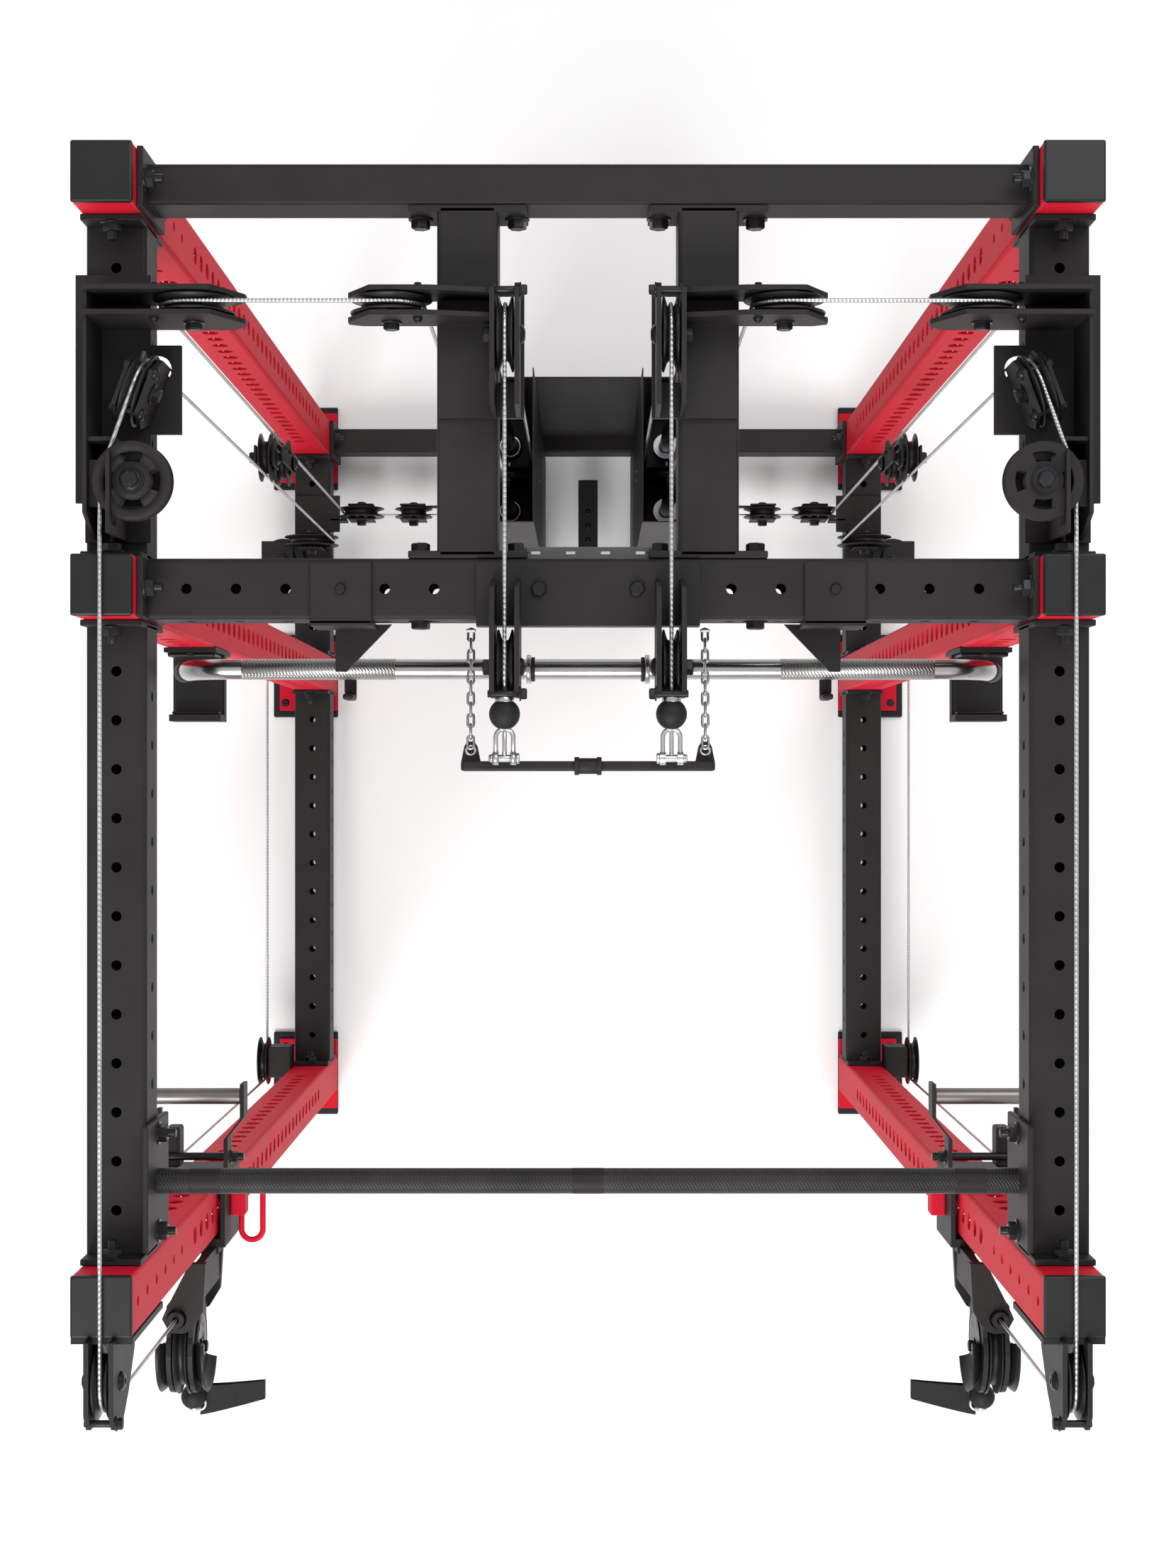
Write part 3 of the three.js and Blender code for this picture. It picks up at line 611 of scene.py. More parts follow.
def make_tower_beam(side):
    """The short beam over a weight stack, with a bolted plate at each end."""
    piece = Piece(f"tower_beam_{side}_look", ["black", "oxide_and_hole_shade"], SIDES[side])
    thick, wide = 4.5, 73
    gap = thick + 0.3
    start, end = MIDDLE_Y + HALF + gap, REAR_Y - FLAT_HALF - gap
    x = -TOWER_X
    low, high = CROSS_Z - HALF, CROSS_Z + HALF
    square_tube(piece, (x, start, CROSS_Z), (x, end, CROSS_Z), HALF, HALF, [], [], "black")
    for spot, out in ((start, 1), (end, -1)):
        piece.slab((x - wide, spot - thick, low), (x + wide, spot + thick, high))
        for offset in (-60, 60):
            piece.bolt((x + offset, spot + out * thick, CROSS_Z), Y * out, 12, 11)
    piece.finish("root", [f"tower_beam_{side}"])


# Pulleys ---


def wheel(piece, centre, axis, turn):
    """A grooved nylon wheel with a dished web, on its bearing."""
    rim, groove, half = turn + RIM, turn - GROOVE, WHEEL_HALF
    profile = [
        (12, -half * 0.8), (15, -half * 0.8), (17, -5.5), (groove - 7, -5.5), (groove - 4, -half),
        (rim - 1, -half), (rim, -half + 1), (rim, -half + 2.2), (groove + 1.5, -4), (groove, -2),
        (groove, 2), (groove + 1.5, 4), (rim, half - 2.2), (rim, half - 1), (rim - 1, half),
        (groove - 4, half), (groove - 7, 5.5), (17, 5.5), (15, half * 0.8), (12, half * 0.8),
    ]
    piece.turned(centre, axis, profile, "plastic", 56)
    piece.washer(centre, axis, 6.6, 11.9, -7.2, 7.2, "steel", 32)


def slotted_wheel(piece, centre, axis, turn):
    """A grooved wheel with a flat face and four curved slots round its hub."""
    rim, groove, half = turn + LOW_RIM, turn - GROOVE, WHEEL_HALF
    hub, ring = 23, 35
    outer = [
        (ring, -half), (rim - 1, -half), (rim, -half + 1), (rim, -half + 2.2), (groove + 1.5, -4),
        (groove, -2), (groove, 2), (groove + 1.5, 4), (rim, half - 2.2), (rim, half - 1),
        (rim - 1, half), (ring, half),
    ]
    piece.turned(centre, axis, outer, "black", 64)
    piece.washer(centre, axis, 6.6, hub, -half, half, "black", 48)
    low, high, face = hub - 0.5, ring + 0.5, half - 0.2
    spoke = [(low, -face), (high, -face), (high, face), (low, face)]
    for quarter in range(4):
        angle = math.radians(90 * quarter + 45)
        middle = Vector((math.cos(angle), math.sin(angle), 0))
        piece.turned(centre, axis, spoke, "black", 8, span=(middle, 21))


def axle_bolt(piece, centre, axis, reach):
    """The bolt through a pair of cheeks: a button head on one side and a nut on the other."""
    along = Vector(axis)
    piece.rod(Vector(centre) - along * reach, Vector(centre) + along * reach, M12, "oxide_and_hole_shade", 16)
    piece.dome(Vector(centre) + along * reach, along, 12)
    piece.bolt(Vector(centre) - along * reach, -along, 10, 8)


PULLEYS = {
    "tower_pulley": ((-TOWER_LINE_X, 550.0, TOP_CABLE_Z - TURN), X, TURN),
    "lat_pulley": ((-TOWER_LINE_X, 146.0, TOP_CABLE_Z - TURN), X, TURN),
    "front_pulley": ((-UPRIGHT_X, -720.0, TOP_CABLE_Z - TURN), X, TURN),
    "inner_pulley": ((-239.0, REAR_LINE_Y, REAR_PULLEY_Z), Y, WIDE_TURN),
    "corner_pulley": ((-479.0, REAR_LINE_Y, REAR_PULLEY_Z), Y, WIDE_TURN),
    "turn_pulley": ((-545.0, 367.0, TOP_CABLE_Z), Z, WIDE_TURN),
    "swivel_pulley": (SWIVEL, X, SWIVEL_TURN),
}
# The pins that keep a cable in its groove
KEEPER_PINS = ((-TOWER_LINE_X, 597, 2290), (-TOWER_LINE_X, 112, 2301), (-UPRIGHT_X, -764, 2285))


def drop_direction():
    """The level direction in which the cable leaves the turn pulley for the drop behind it."""
    centre = PULLEYS["turn_pulley"][0]
    x, y = DROP[0] - centre[0], DROP[1] - centre[1]
    angle = math.atan2(y, x) - math.asin(WIDE_TURN / math.hypot(x, y))
    return Vector((math.cos(angle), math.sin(angle), 0))


def make_pulleys(side):
    """The wheels that have a CAD node and turn, and the bolts and keeper pins of their brackets."""
    for name, (centre, axis, turn) in PULLEYS.items():
        piece = Piece(f"{name}_{side}_look", ["plastic", "steel", "black"], SIDES[side])
        make = slotted_wheel if name == "turn_pulley" else wheel
        make(piece, centre, axis, turn)
        piece.finish(f"{name}_{side}", [f"{name}_{side}"])
    bolts = Piece(f"top_pulley_bolts_{side}", ["oxide_and_hole_shade"], SIDES[side])
    for name in ("tower_pulley", "lat_pulley", "front_pulley", "inner_pulley", "corner_pulley"):
        centre, axis, _ = PULLEYS[name]
        axle_bolt(bolts, centre, axis, CHEEK_REACH)
    turn = Vector(PULLEYS["turn_pulley"][0])
    bolts.bolt(turn + Z * (CHEEK_REACH - 1), Z, 11, 8)
    for x, y, z in KEEPER_PINS:
        bolts.rod((x - 20, y, z), (x + 20, y, z), 4.5, "oxide_and_hole_shade", 16)
        bolts.bolt((x + 18.2, y, z), X, 7, 7)
    for x in (-522, -205):
        for sign in (-1, 1):
            bolts.dome((x, REAR_LINE_Y + sign * CHEEK_REACH, 2278), Y * sign, 6)
    for y in (326, 610):
        bolts.bolt((-UPRIGHT_X, y, 2201), Z, 10, 8)
    bolts.finish("root")


def make_extra_pulleys(side):
    """The pulleys that have no CAD node of their own."""
    make_tilted_pulley(side)
    make_floor_pulleys(side)
    stack = Piece(f"stack_pulley_{side}", ["plastic", "steel"], SIDES[side])
    wheel(stack, STACK_PULLEY, Y, STACK_TURN)
    stack.finish(f"stack_{side}")
    make_floating_block(side)


def make_tilted_pulley(side):
    """The pulley behind the turn pulley, which sends the cable down."""
    direction = drop_direction()
    normal = Vector((-direction.y, direction.x, 0))
    middle = Vector((*DROP, TOP_CABLE_Z - TURN)) - direction * TURN
    piece = Piece(f"tilted_pulley_{side}", ["plastic", "steel", "oxide_and_hole_shade"], SIDES[side])
    wheel(piece, middle, normal, TURN)
    axle_bolt(piece, middle, normal, CHEEK_REACH)
    for along, height in ((-30, 2276), (22, 2280)):
        spot = middle + direction * along
        spot.z = height
        piece.rod(spot - normal * 19, spot + normal * 19, 4, "oxide_and_hole_shade", 16)
        piece.dome(spot + normal * 17.5, normal, 8)
        piece.dome(spot - normal * 17.5, -normal, 8)
    piece.finish("root")


def make_floor_pulleys(side):
    """The pulleys along the floor, with their cheeks and carriers."""
    floor = Piece(f"floor_pulleys_{side}", ["plastic", "steel", "oxide_and_hole_shade", "black"], SIDES[side])
    side_turn = (OUTER_LINE_X + SIDE_TURN, DROP[1] - SIDE_TURN, FLOOR_LINE_Z)
    front_turn = (OUTER_LINE_X, FRONT_FLOOR_Y, FLOOR_LINE_Z + FRONT_FLOOR_TURN)
    drop_turn = (DROP[0] - DROP_TURN, DROP[1], FLOOR_LINE_Z + DROP_TURN)
    wheel(floor, drop_turn, Y, DROP_TURN)
    wheel(floor, side_turn, Z, SIDE_TURN)
    wheel(floor, front_turn, X, FRONT_FLOOR_TURN)
    axle_bolt(floor, drop_turn, Y, CHEEK_REACH - 1)
    for centre, turn in ((CORNER_FLOOR, CORNER_FLOOR_TURN), (IDLE_FLOOR, IDLE_FLOOR_TURN)):
        wheel(floor, centre, Y, turn)
        axle_bolt(floor, centre, Y, CHEEK_REACH - 1)
        for y in (567, 597):
            floor.slab((centre[0] - 27, y, 112), (centre[0] + 27, y + PLATE, 176))
    for y in (-13, 17):
        low_y = DROP[1] + y - PLATE
        floor.slab((-606, low_y, 158.2), (-556, low_y + PLATE, 240))
    floor.slab((-344, 597, 118), (-206, 601, 140))
    floor.slab((-621, 542, 158.3), (-526, 619, 165))
    floor.slab((-548, 565, 120), (-512, 571, 165))
    x, y, z = side_turn
    floor.rod((x, y, 146), (x, y, 184), M12, "oxide_and_hole_shade", 16)
    floor.slab((x - 27, y - 27, 140), (x + 100, y + 27, 146))
    floor.slab((-690, 461, 175), (-622.7, 521, 180))
    floor.bolt((x, y, 180), Z, 9, 7)
    x, y, z = front_turn
    floor.rod((x - 12, y, z), (x + 58, y, z), M12, "oxide_and_hole_shade", 16)
    floor.slab((x + 12, y - 32, z - 35), (x + 58, y + 32, z + 33), bevel=2)
    floor.finish("root")


def make_floating_block(side):
    """The double pulley block that hangs between the stack cable and the carriage cable."""
    block = Piece(f"floating_block_{side}", ["black", "plastic", "steel", "oxide_and_hole_shade"], SIDES[side])
    for x, y, z in ((DROP[0], DROP[1] + 30, 1230), (-519, 554, 1120)):
        wheel(block, (x, y, z), X, 30)
        axle_bolt(block, (x, y, z), X, CHEEK_REACH)
        for offset in (-17, 13):
            low_x = x + offset
            block.slab((low_x, y - 17, z - 30), (low_x + PLATE, y + 17, z + 30), bevel=4)
    for x in (-550, -506):
        block.slab((x, 538, 1100), (x + PLATE, 562, 1250), bevel=3)
    block.finish("root")


# Cables ---


def cable_piece(name, points, side, body, replaced=(), blend=None):
    """A stretch of cable through points, cut finely, into lengths of at most 60 mm."""
    piece = Piece(f"{name}_{side}", ["braid"], SIDES[side])
    longest = 60
    fine = []
    for first, second in zip(points, points[1:]):
        first, second = Vector(first), Vector(second)
        steps = max(1, int((second - first).length / longest))
        fine += [first.lerp(second, step / steps) for step in range(steps)]
    fine.append(Vector(points[-1]))
    piece.tube(fine, CABLE_RADIUS, "braid", 12)
    return piece.finish(body, replaced, blend)


def make_stack_cable(side):
    """From the lat ball over the tower pulley, round the stack's pulley, and down the back to its end."""
    line = -TOWER_LINE_X
    stack_z = STACK_PULLEY[2]
    inner, corner = PULLEYS["inner_pulley"][0], PULLEYS["corner_pulley"][0]
    ball_end = Vector((line, LAT_BALL_Y, TOP_CABLE_Z))
    over = [ball_end, *arc(PULLEYS["tower_pulley"][0], Y, Z, TURN, 90, 0, 14)]
    cable_piece("stack_cable_top", over, side, "root", [f"stack_cable_{side}"])
    top = Vector((line, STACK_LINE_Y, TOP_CABLE_Z - TURN))
    low = Vector((line, STACK_LINE_Y, stack_z))
    cable_piece("stack_cable_down", [top, low], side, "root", (), (f"stack_{side}", top, low))
    around = arc(STACK_PULLEY, X, Z, STACK_TURN, 0, -180, 28)
    cable_piece("stack_cable_turn", around, side, f"stack_{side}")
    low = Vector((-TOWER_X - STACK_TURN, STACK_LINE_Y, stack_z))
    top = Vector((inner[0] + WIDE_TURN, REAR_LINE_Y, REAR_PULLEY_Z))
    cable_piece("stack_cable_up", [low, top], side, f"stack_{side}", (), ("root", low, top))
    rest = [
        *arc(inner, X, Z, WIDE_TURN, 0, 90, 14),
        *arc(corner, -X, Z, WIDE_TURN, 90, 0, 14),
        *arc(CORNER_FLOOR, -X, Z, CORNER_FLOOR_TURN, 0, -90, 12),
        Vector((REAR_CABLE_END_X, REAR_LINE_Y, CORNER_FLOOR[2] - CORNER_FLOOR_TURN)),
    ]
    cable_piece("stack_cable_rear", rest, side, "root")


def make_carriage_cable(side):
    """From the handle's ball up to the top, back and down to the floor, and forward to the carriage."""
    start = Vector((-UPRIGHT_X, BALL_Y, SWIVEL[2] - SWIVEL_TURN))
    out = [start, *arc(SWIVEL, Y, Z, SWIVEL_TURN, -90, 0, 16)]
    cable_piece("carriage_cable_end", out, side, f"swivel_{side}", [f"carriage_cable_{side}"])
    low = Vector((-UPRIGHT_X, SWIVEL_AXIS_Y, SWIVEL[2]))
    top = Vector((-UPRIGHT_X, SWIVEL_AXIS_Y, TOP_CABLE_Z - TURN))
    cable_piece("carriage_cable_up", [low, top], side, f"carriage_{side}", (), ("root", low, top))
    direction = drop_direction()
    turn_end = math.degrees(math.atan2(direction.x, direction.y))
    tilted = Vector((*DROP, TOP_CABLE_Z - TURN)) - direction * TURN
    drop_turn = (DROP[0] - DROP_TURN, DROP[1], FLOOR_LINE_Z + DROP_TURN)
    side_turn = (OUTER_LINE_X + SIDE_TURN, DROP[1] - SIDE_TURN, FLOOR_LINE_Z)
    front_turn = (OUTER_LINE_X, FRONT_FLOOR_Y, FLOOR_LINE_Z + FRONT_FLOOR_TURN)
    run = [
        *arc(PULLEYS["front_pulley"][0], -Y, Z, TURN, 0, 90, 14),
        *arc(PULLEYS["turn_pulley"][0], -X, Y, WIDE_TURN, 0, turn_end, 6),
        *arc(tilted, direction, Z, TURN, 90, 0, 12),
        *arc(drop_turn, X, Z, DROP_TURN, 0, -90, 12),
        *arc(side_turn, Y, -X, SIDE_TURN, 0, 90, 10),
        *arc(front_turn, -Y, Z, FRONT_FLOOR_TURN, -90, 0, 12),
    ]
    cable_piece("carriage_cable_frame", run, side, "root")
    low = Vector((OUTER_LINE_X, FRONT_FLOOR_Y - FRONT_FLOOR_TURN, front_turn[2]))
    top = Vector((*low.xy, CARRIAGE_CABLE_END_Z))
    cable_piece("carriage_cable_low", [low, top], side, "root", (), (f"carriage_{side}", low, top))


def ball(piece, centre):
    """A rubber stop ball on a cable that runs along Y."""
    steps = 16
    profile = []
    for index in range(steps + 1):
        angle = math.pi * index / steps
        profile.append((max(TIP, BALL * math.sin(angle)), -BALL * math.cos(angle)))
    piece.turned(centre, Y, profile, "rubber", 32)


def clevis(piece, centre, reach):
    """A bent shackle behind a ball, opening towards -Y on a headed pin."""
    x, y, z = centre
    half, wire = 10.5, 2.9
    bend = arc((x, y - 28, z), X, Y, half, 0, 180, 16)
    far = y - reach
    piece.tube([Vector((x + half, far, z)), *bend, Vector((x - half, far, z))], wire, "zinc", 14)
    piece.rod((x, y - 17, z), (x, far + 2, z), 2.8, "zinc", 16)
    pin_y = far + 5
    piece.rod((x - 19, pin_y, z), (x + 17, pin_y, z), 4.6, "zinc", 20)
    piece.rod((x + 14, pin_y, z), (x + 18, pin_y, z), 6.5, "zinc", 20)
    piece.rod((x - 17, pin_y, z), (x - 14, pin_y, z), 5.5, "zinc", 20)
    for offset in (-half, half):
        piece.washer((x + offset, pin_y, z), X, 4.7, 8, -3.6, 3.6, "zinc", 20)


def make_cable_ends(side):
    """The handle on the carriage cable, and the ball and shackle on the stack cable."""
    z = SWIVEL[2] - SWIVEL_TURN
    x = -UPRIGHT_X
    piece = Piece(f"handle_{side}", ["webbing", "rubber", "zinc", "steel"], SIDES[side])
    ball(piece, (x, BALL_Y, z))
    piece.rod((x, BALL_Y + 12, z), (x, BALL_Y + 22, z), 10, "steel", 24)
    ring = arc((x + 2, BALL_Y - 17, z), X, Z, 7, 0, 360, 20)[:-1]
    piece.tube(ring, 2.4, "zinc", 10, closed=True)
    hook = arc((x + 8, BALL_Y - 12, z - 4), X, Y, 9, 0, 360, 24)[:-1]
    piece.tube(hook, 2.4, "zinc", 10, closed=True)
    near, length = x + 10, 90
    band, widths = [], []
    steps = 10
    out = [index / steps for index in range(steps + 1)]
    upper = [(part, z - 6) for part in out]
    lower = [(part, z - 16 - 8 * (1 - part)) for part in reversed(out)]
    for part, level in upper + lower:
        sag = 26 * part ** 1.5
        band.append((near + length * part, BALL_Y - 8 + 9 * part, level - sag))
        widths.append(42 - 15 * part)
    piece.ribbon(band, widths, 2.6, "webbing")
    piece.finish(f"swivel_{side}")
    lat = Piece(f"lat_ball_{side}", ["rubber", "zinc", "steel"], SIDES[side])
    x, y, z = centre = (-TOWER_LINE_X, LAT_BALL_Y, TOP_CABLE_Z)
    ball(lat, centre)
    lat.rod((x, y + 12, z), (x, y + 21, z), 11.5, "steel", 24)
    clevis(lat, centre, 58)
    lat.finish("root")


# Towers ---


def make_stack(side):
    """A weight stack with its lifting yoke and selector pin, and the guide rods that it runs on."""
    piece = Piece(f"weight_stack_{side}_look", ["iron", "steel", "black"], SIDES[side])
    x = -TOWER_X
    front, rear = 472, 703
    top = STACK_LOW + STACK_HEIGHT
    pitch = STACK_HEIGHT / STACK_PLATES
    for index in range(STACK_PLATES):
        low = STACK_LOW + index * pitch
        piece.slab((x - 38, front, low), (x + 38, rear, low + pitch - 1.2), "iron", 3)
        piece.disc((x, front - 0.1, low + 12), -Y, 5, "steel", sides=16)
    for y in (570, 598):
        piece.slab((x - 18, y, top - 1), (x + 18, y + PLATE, 742))
    for y in GUIDE_ROD_YS:
        piece.washer((x, y, top - 0.5), Z, 13.5, 24, 0, 10, "steel", 32)
    pulley_z, pin_z = STACK_PULLEY[2], 547
    piece.rod((x, 560, pulley_z), (x, 612, pulley_z), M12, "steel", 16)
    piece.rod((x, 440, pin_z), (x, front + 2, pin_z), 9, "black", 24)
    piece.finish(f"stack_{side}", [f"weight_stack_{side}"])
    rods = Piece(f"guide_rods_{side}_look", ["steel", "rubber", "black"], SIDES[side])
    base_top = 12
    rods.slab((x - 39, 470, 0.2), (x + 39, 705, base_top))
    for y in GUIDE_ROD_YS:
        rods.rod((x, y, base_top), (x, y, 2149), 12.4, "steel", 36)
        rods.rod((x, y, base_top), (x, y, STACK_LOW - 1), 30, "rubber", 36, 4)
    rods.finish("root", [f"guide_rods_{side}"])


# Carriage details ---


def make_carriage_details(side):
    """A carriage's lever with its bright grip, its bolts, its red block and pull loop."""
    piece = Piece(f"carriage_lever_{side}", ["satin", "black", "oxide_and_hole_shade", "red"], SIDES[side])
    z = LEVER_Z
    piece.rod((-672, LEVER_Y, z), (-513, LEVER_Y, z), 12, "satin", 40, 2)
    bent = [
        (-514, -438), (-514, -490), (-538, -520), (-538, -596), (-532, -596), (-532, -517),
        (-508, -487), (-508, -438),
    ]
    piece.prism(bent, z - 24, z + 14, "black")
    piece.slab((-672, -470, z - 24), (-666, -438, z + 14), bevel=2)
    piece.slab((-640, -476, z - 20), (-634, -560, z - 8), bevel=1)
    pivot_y, pivot_z = -549, z - 16
    piece.rod((-640, pivot_y, pivot_z), (-512, pivot_y, pivot_z), 6, "oxide_and_hole_shade", 16)
    piece.slab((-630, -566, z - 56), (-608, -506, pivot_z), bevel=4)
    piece.bolt((-532, pivot_y, pivot_z), X, 8, 9)
    for y in (-655, -600):
        for height in (1530, 1632):
            piece.dome((-UPRIGHT_X - 49.5, y, height), -X, 8)
    piece.slab((-536, -642, 1561), (-514, -604, 1597), "red", 3)
    if side == "left":
        front = arc((-506, -665, 1578), X, -Y, 16, 0, 180, 20)
        rear = arc((-506, -592, 1578), -X, Y, 16, 0, 180, 20)
        piece.tube([*front, *rear], 4.4, "red", 16, closed=True)
    piece.finish(f"carriage_{side}")


def make_guards(side):
    """The dished guard and the drilled disc on each side of a swivel pulley."""
    guard = Piece(f"swivel_guards_{side}", ["plastic", "oxide_and_hole_shade"], SIDES[side])
    centre = Vector(SWIVEL)
    dish = [(46, 0), (54, 3.5), (62, 9.5), (65.5, 14.5), (64, 15.5), (60.5, 11), (53, 5.6), (46, 2.2)]
    for sign in (-1, 1):
        out = X * sign
        guard.turned(centre + out * 19.2, out, dish, "plastic", 40, span=(Z * 0.37 - Y * 0.93, 85))
        guard.washer(centre + out * 19.2, out, 12, 46.5, 0, 2, "plastic", 48)
        guard.bolt(centre + out * 21, out, 8, 8)
        guard.bolt(centre + out * 21 + Y * 5 + Z * 31, out, 7, 7)
        # Painted shade: six dark discs on the drilled disc stand for the shaded insides of its holes,
        # which are not cut.
        for index in range(6):
            angle = math.radians(60 * index + 25)
            spot = centre + out * 21.1 + Y * 33 * math.cos(angle) + Z * 33 * math.sin(angle)
            guard.disc(spot, out, 4.5, "oxide_and_hole_shade")
    guard.finish(f"swivel_{side}")


# Attachments ---


def make_pullup_bar():
    """The knurled bar between the front beams, with its plain bands and its flange plates."""
    bar = Piece("front_pullup_bar_look", ["black_knurl", "black", "oxide_and_hole_shade"])
    y, z = PULLUP_BAR_Y, DEPTH_Z
    face = 539.4
    bar.rod((-541, y, z), (541, y, z), PULLUP_BAR, "black_knurl", 40)
    for start in (-500, -20, 460):
        bar.rod((start, y, z), (start + 40, y, z), PULLUP_BAR + 0.2, "black", 40)
    for sign in (-1, 1):
        low_x, high_x = sorted((sign * 547, sign * face))
        bar.slab((low_x, y - 78, z - 70), (high_x, y + 78, z + 70), bevel=2)
        for stud_y in (-556.5, -433.7):
            bar.stud((sign * face, stud_y, z), X * -sign)
            bar.dome((sign * (UPRIGHT_X + HALF), stud_y, z), X * sign, 11)
    bar.finish("root", ["front_pullup_bar"])


def make_lat_bar():
    """The bent chrome bar, with knurled grips, rubber ends and two collars."""
    lat = Piece("lat_bar_look", ["chrome", "knurl", "rubber"])
    y, z = LAT_BAR_Y, LAT_BAR_Z
    bend, slope = 60, 1.222
    right = arc((470, y, z - bend), Z, X, bend, 0, 70, 12)
    lean = Vector((math.cos(slope), 0, -math.sin(slope)))
    tip = right[-1] + lean * 39
    ends = [Vector((-point.x, point.y, point.z)) for point in [*right, tip]]
    lat.tube([*reversed(ends), *right, tip], LAT_BAR, "chrome", 32)
    for start in (-450, 250):
        lat.rod((start, y, z), (start + 200, y, z), LAT_BAR + 0.3, "knurl", 32)
    for sign in (-1, 1):
        start = Vector((sign * right[-1].x, y, right[-1].z))
        lat.rod(start, Vector((sign * tip.x, y, tip.z)), LAT_BAR + 0.6, "rubber", 32, 2)
        lat.rod((sign * 80, y, z), (sign * 74, y, z), 19, "chrome", 32)
        lat.rod((sign * 74, y, z), (sign * 69, y, z), 16, "rubber", 32)
    lat.finish("lat_bar", ["lat_bar"])


def make_spreader():
    """The flat bar between the lat balls, with its hub and an ear for each chain."""
    y, z = SPREADER_Y, SPREADER_Z
    bar = Piece("spreader_bar_look", ["black", "zinc", "oxide_and_hole_shade"])
    bar.slab((-153.5, y - 6, z - 19), (153.5, y + 6, z + 19), bevel=3)
    bar.rod((-16.5, y, z + 16), (16.5, y, z + 16), 9.7, "black", 32)
    for sign in (-1, 1):
        bar.rod((sign * 10.5, y, z + 16), (sign * 16.5, y, z + 16), 11, "black", 32)
        x = sign * 142
        ear = [(x - 12, 30), (x + 12, 30), (x + 8, 50), (x + 4, 56), (x - 4, 56), (x - 8, 50)]
        bar.prism(ear, z - 4, z + 4, "black")
        # Painted shade: the dark disc inside each zinc washer stands for the shaded inside of the ear's
        # hole, which is not cut.
        for face in (z + 4, z - 4.8):
            bar.washer((x, 45, face), Z, 4, 7, 0, 0.8, "zinc", 28)
            bar.disc((x, 45, face), Z, 4, "oxide_and_hole_shade", 0.3, 28)
    bar.finish("root", ["spreader_bar"])


def make_chain(side, sign):
    """The chain from an ear of the spreader bar to the middle crossmember, its links turned in turn."""
    chain = Piece(f"chain_{side}", ["zinc"], sign)
    start, end = Vector((-142, 48, SPREADER_Z + 7)), Vector((-146, 197, 2172))
    count, straight, bend, wire = 11, 5.9, 3.7, 1.7
    along = (end - start).normalized()
    for index in range(count):
        middle = start.lerp(end, (index + 0.5) / count)
        across = along.cross(Z).normalized()
        if index % 2:
            across = along.cross(across).normalized()
        link = arc(middle + along * straight, along, across, bend, -90, 90, 8)
        link += arc(middle - along * straight, -along, -across, bend, -90, 90, 8)
        chain.tube(link, wire, "zinc", 10, closed=True)
    chain.slab((-152, 194.5, 2168), (-140, 198.2, 2177), "zinc", 1)
    chain.finish("root")


def make_hooks(side, sign):
    """The lat bar's hook under its clamp plate, and the liner of the bar hook on the middle upright."""
    hook = Piece(f"lat_hook_{side}", ["black", "rubber", "oxide_and_hole_shade"], sign)
    left, right = HOOK_X
    hook.slab((-341, 200, 2224.8), (-265, 276, 2231))
    hook.bolt((-303, 243, 2231), Z, 7, 5, washer=False)
    hook.slab((-341, 198, 2150), (-265, 205.5, 2231))
    hook.slab((left, 198, 2020), (right, 205.5, 2160), bevel=2)
    hook.slab((left, 116, 2020), (right, 205.5, 2030), bevel=2)
    hook.slab((left, 114, 2020), (right, 122, 2068), bevel=3)
    brace = [(left, 205.5), (left, 146), (right, 146), (-294, 157), (-247, 205.5)]
    hook.prism(brace, 2144, 2150, "black")
    hook.slab((left - 1, 123, 2029.5), (right + 1, 197, 2035.5), "rubber", 2)
    hook.finish("root")
    liner = Piece(f"bar_hook_liner_{side}", ["plastic", "oxide_and_hole_shade"], sign)
    x = -UPRIGHT_X
    left, right = x - 35, x + 35
    liner.slab((left, 110, 1586), (right, 198, 1592), "plastic", 2)
    liner.slab((left, 109.2, 1590), (right, 114, 1618), "plastic", 2)
    liner.slab((left, 193, 1590), (right, 199, 1655), "plastic", 2)
    liner.bolt((x, 198.8, 1659), -Y, 5, 4)
    liner.finish("root")


def make_frame_details():
    """Bolts on the crossmembers, the slotted strip and the holed bracket between the towers."""
    piece = Piece("frame_details", ["black", "oxide_and_hole_shade", "zinc", "grey"])
    for sign in (-1, 1):
        piece.bolt((sign * 60, 243, 2232.6), Z, 10, 7, washer=False)
        piece.bolt((sign * (TOWER_X + 60), MIDDLE_Y - HALF, CROSS_Z), -Y, 12, 8)
        for offset in (-60, 60):
            piece.dome((sign * (TOWER_X + offset), REAR_Y + FLAT_HALF, CROSS_Z), Y, 10)
    piece.slab((-20.5, 470, 150), (20.5, 653, 158), bevel=2)
    piece.slab((-90, 284, 2146), (90, 303, 2152), "grey", 1.5)
    for x in (-66, -22, 22, 66):
        piece.slab((x - 6, 293, 2151.8), (x + 6, 297, 2152.5), "zinc", 0.3)
    # Painted shade: three dark discs stand for the shaded insides of the holed bracket's holes, which are
    # not cut.
    for y in (525, 555, 585):
        piece.disc((0, y, 158.2), Z, 6, "oxide_and_hole_shade")
    piece.finish("root")
    for side, sign in SIDES.items():
        grip = Piece(f"front_bracket_bolts_{side}", ["oxide_and_hole_shade"], sign)
        for height in (2110, 2170):
            grip.bolt((-UPRIGHT_X, -669.9, height), -Y, 11, 6)
        grip.finish("root")


def dress_cad():
    """Materials for the CAD nodes, by a word in their names; the rest are black powder coat."""
    looks = {"cable": BRAID, "pulley": PLASTIC, "lat_bar": CHROME}
    for name, made in NODES.items():
        material = next((look for key, look in looks.items() if key in name), BLACK)
        made.data.materials.clear()
        made.data.materials.append(material)


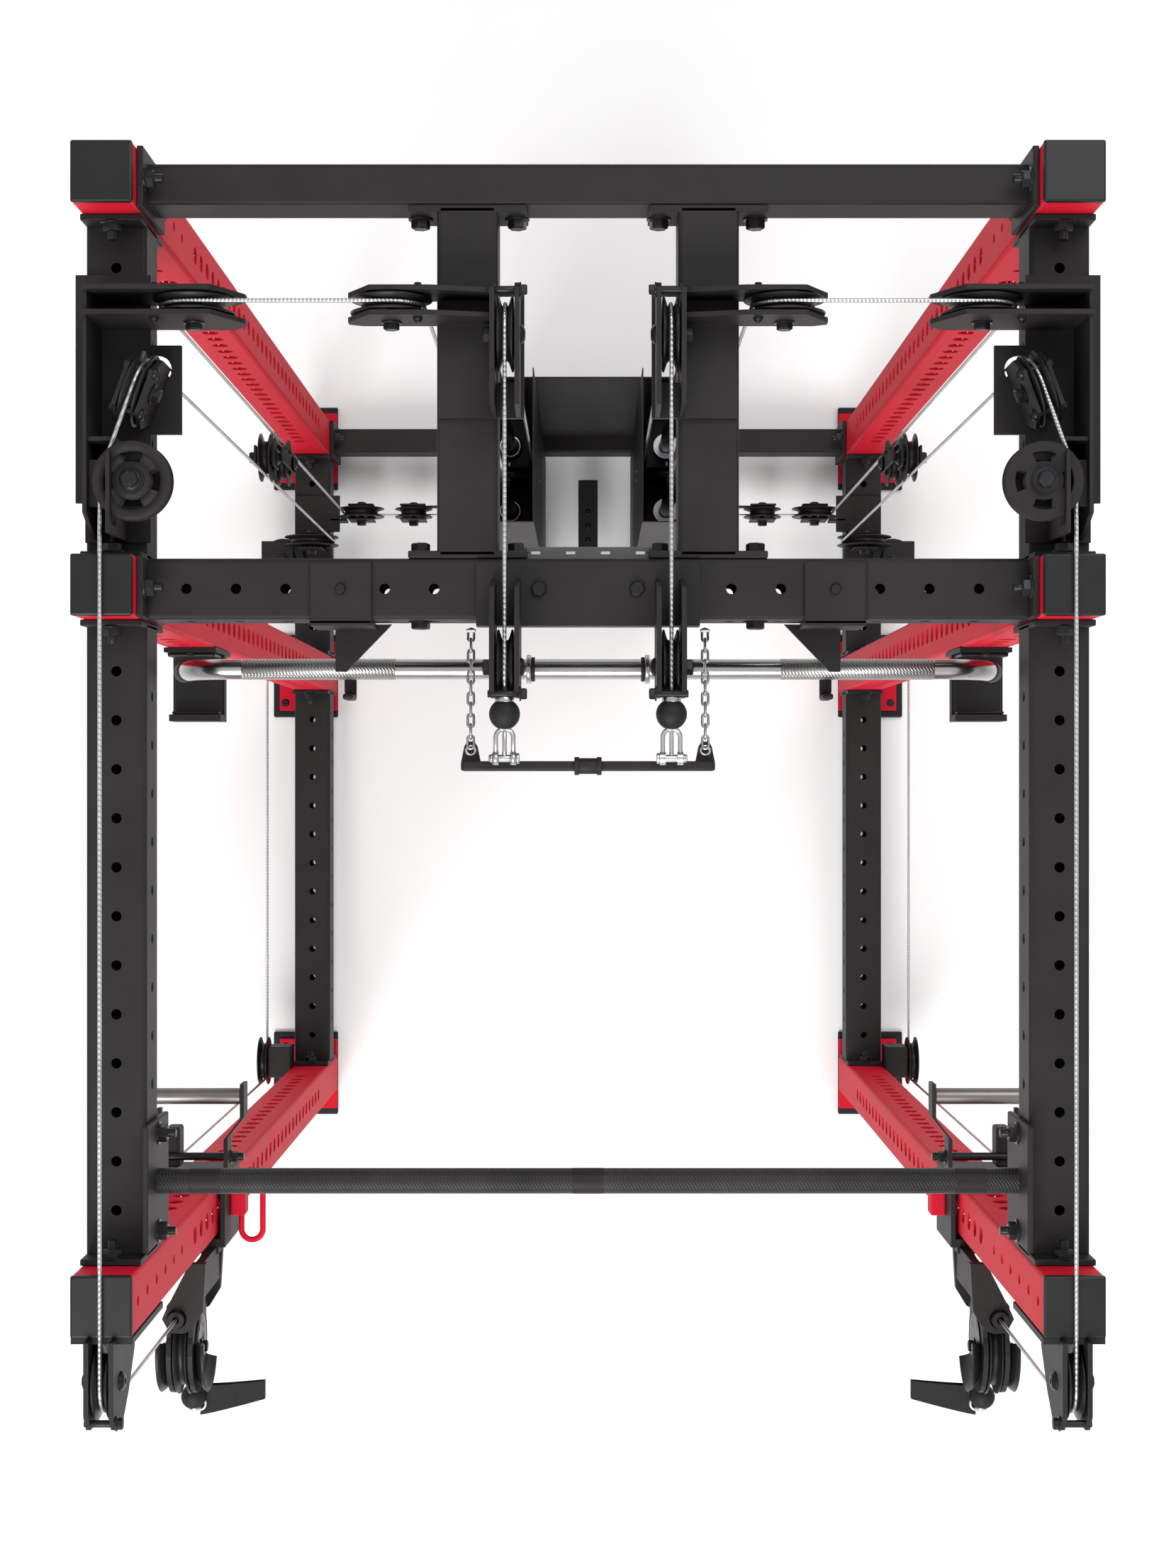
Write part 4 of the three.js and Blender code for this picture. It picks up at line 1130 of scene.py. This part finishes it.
def make_stage():
    """A pale floor just under the feet, and a world that is brighter above and in front."""
    data = bpy.data.meshes.new("studio_floor")
    reach, level = 30.0, -0.0008
    corners = [(x * reach, y * reach, level) for x, y in ((-1, -1), (1, -1), (1, 1), (-1, 1))]
    data.from_pydata(corners, [], [(0, 1, 2, 3)])
    floor = add("studio_floor", data)
    data.materials.append(surface("pale_floor", (0.93, 0.93, 0.93), (0.92, 0.92, 0.92), 0.9, bump=0.0))
    world = bpy.data.worlds.new("studio_world")
    world.use_nodes = True
    tree = world.node_tree
    background = tree.nodes["Background"]
    background.inputs["Strength"].default_value = 0.9
    space = node(tree, "TexCoord", -800, 0)
    toward = node(tree, "VectorMath", -600, 0)
    toward.operation = "DOT_PRODUCT"
    toward.inputs[1].default_value = (0, -0.55, 0.84)
    ramp = node(tree, "ValToRGB", -400, 0)
    ramp.color_ramp.elements[0].position = 0.0
    ramp.color_ramp.elements[0].color = (0.5, 0.5, 0.505, 1)
    ramp.color_ramp.elements[1].position = 0.75
    ramp.color_ramp.elements[1].color = (1, 1, 1, 1)
    tree.links.new(space.outputs["Generated"], toward.inputs[0])
    tree.links.new(toward.outputs["Value"], ramp.inputs["Fac"])
    tree.links.new(ramp.outputs["Color"], background.inputs["Color"])
    bpy.context.scene.world = world


def make_light(name, spot, aim, size, power):
    """A square area light at spot, in watts, turned towards aim."""
    data = bpy.data.lights.new(name, "AREA")
    data.size = size
    data.energy = power
    lamp = add(name, data)
    lamp.location = place(spot)
    lamp.rotation_euler = (place(aim) - place(spot)).to_track_quat("-Z", "Y").to_euler()


def make_camera():
    """Straight down from 5.06 m above the floor."""
    height = 5057
    data = bpy.data.cameras.new("camera")
    data.sensor_fit = "VERTICAL"
    data.sensor_height = 36
    data.lens = 53.0
    data.shift_y = 0.0023
    camera = add("camera", data)
    camera.location = place((0, 0, height))
    bpy.context.scene.camera = camera


make_camera()
make_stage()
make_light("front_softbox", (-900, -3600, 5600), (0, 0, 900), 3.0, 260)
make_light("rear_softbox", (1500, 3200, 6000), (0, 200, 900), 3.0, 120)
bpy.context.scene.view_settings.view_transform = "Standard"

dress_cad()
for side_name in SIDES:
    for upright_name, upright_y in (("rear", REAR_Y), ("middle", MIDDLE_Y), ("front", FRONT_Y)):
        make_upright(upright_name, upright_y, side_name)
    make_depth("rear_top_beam", MIDDLE_Y, REAR_Y, DEPTH_Z, side_name)
    make_depth("front_top_beam", FRONT_Y, MIDDLE_Y, DEPTH_Z, side_name)
    make_depth("rear_base_beam", MIDDLE_Y, REAR_Y, BASE_Z, side_name)
    make_depth("front_base_beam", FRONT_Y, MIDDLE_Y, BASE_Z, side_name)
    make_tower_beam(side_name)
    make_pulleys(side_name)
    make_extra_pulleys(side_name)
    make_stack_cable(side_name)
    make_carriage_cable(side_name)
    make_cable_ends(side_name)
    make_stack(side_name)
    make_carriage_details(side_name)
    make_guards(side_name)
make_cross("rear_top_crossmember", REAR_Y, CROSS_Z, FLAT_HALF, holed=False)
make_cross("rear_bottom_crossmember", REAR_Y, BASE_CROSS_Z, FLAT_HALF, holed=False)
make_cross("middle_crossmember", MIDDLE_Y, CROSS_Z, HALF, holed=True)
make_pullup_bar()
make_lat_bar()
make_spreader()
for side_name, side_sign in SIDES.items():
    make_chain(side_name, side_sign)
    make_hooks(side_name, side_sign)
make_frame_details()
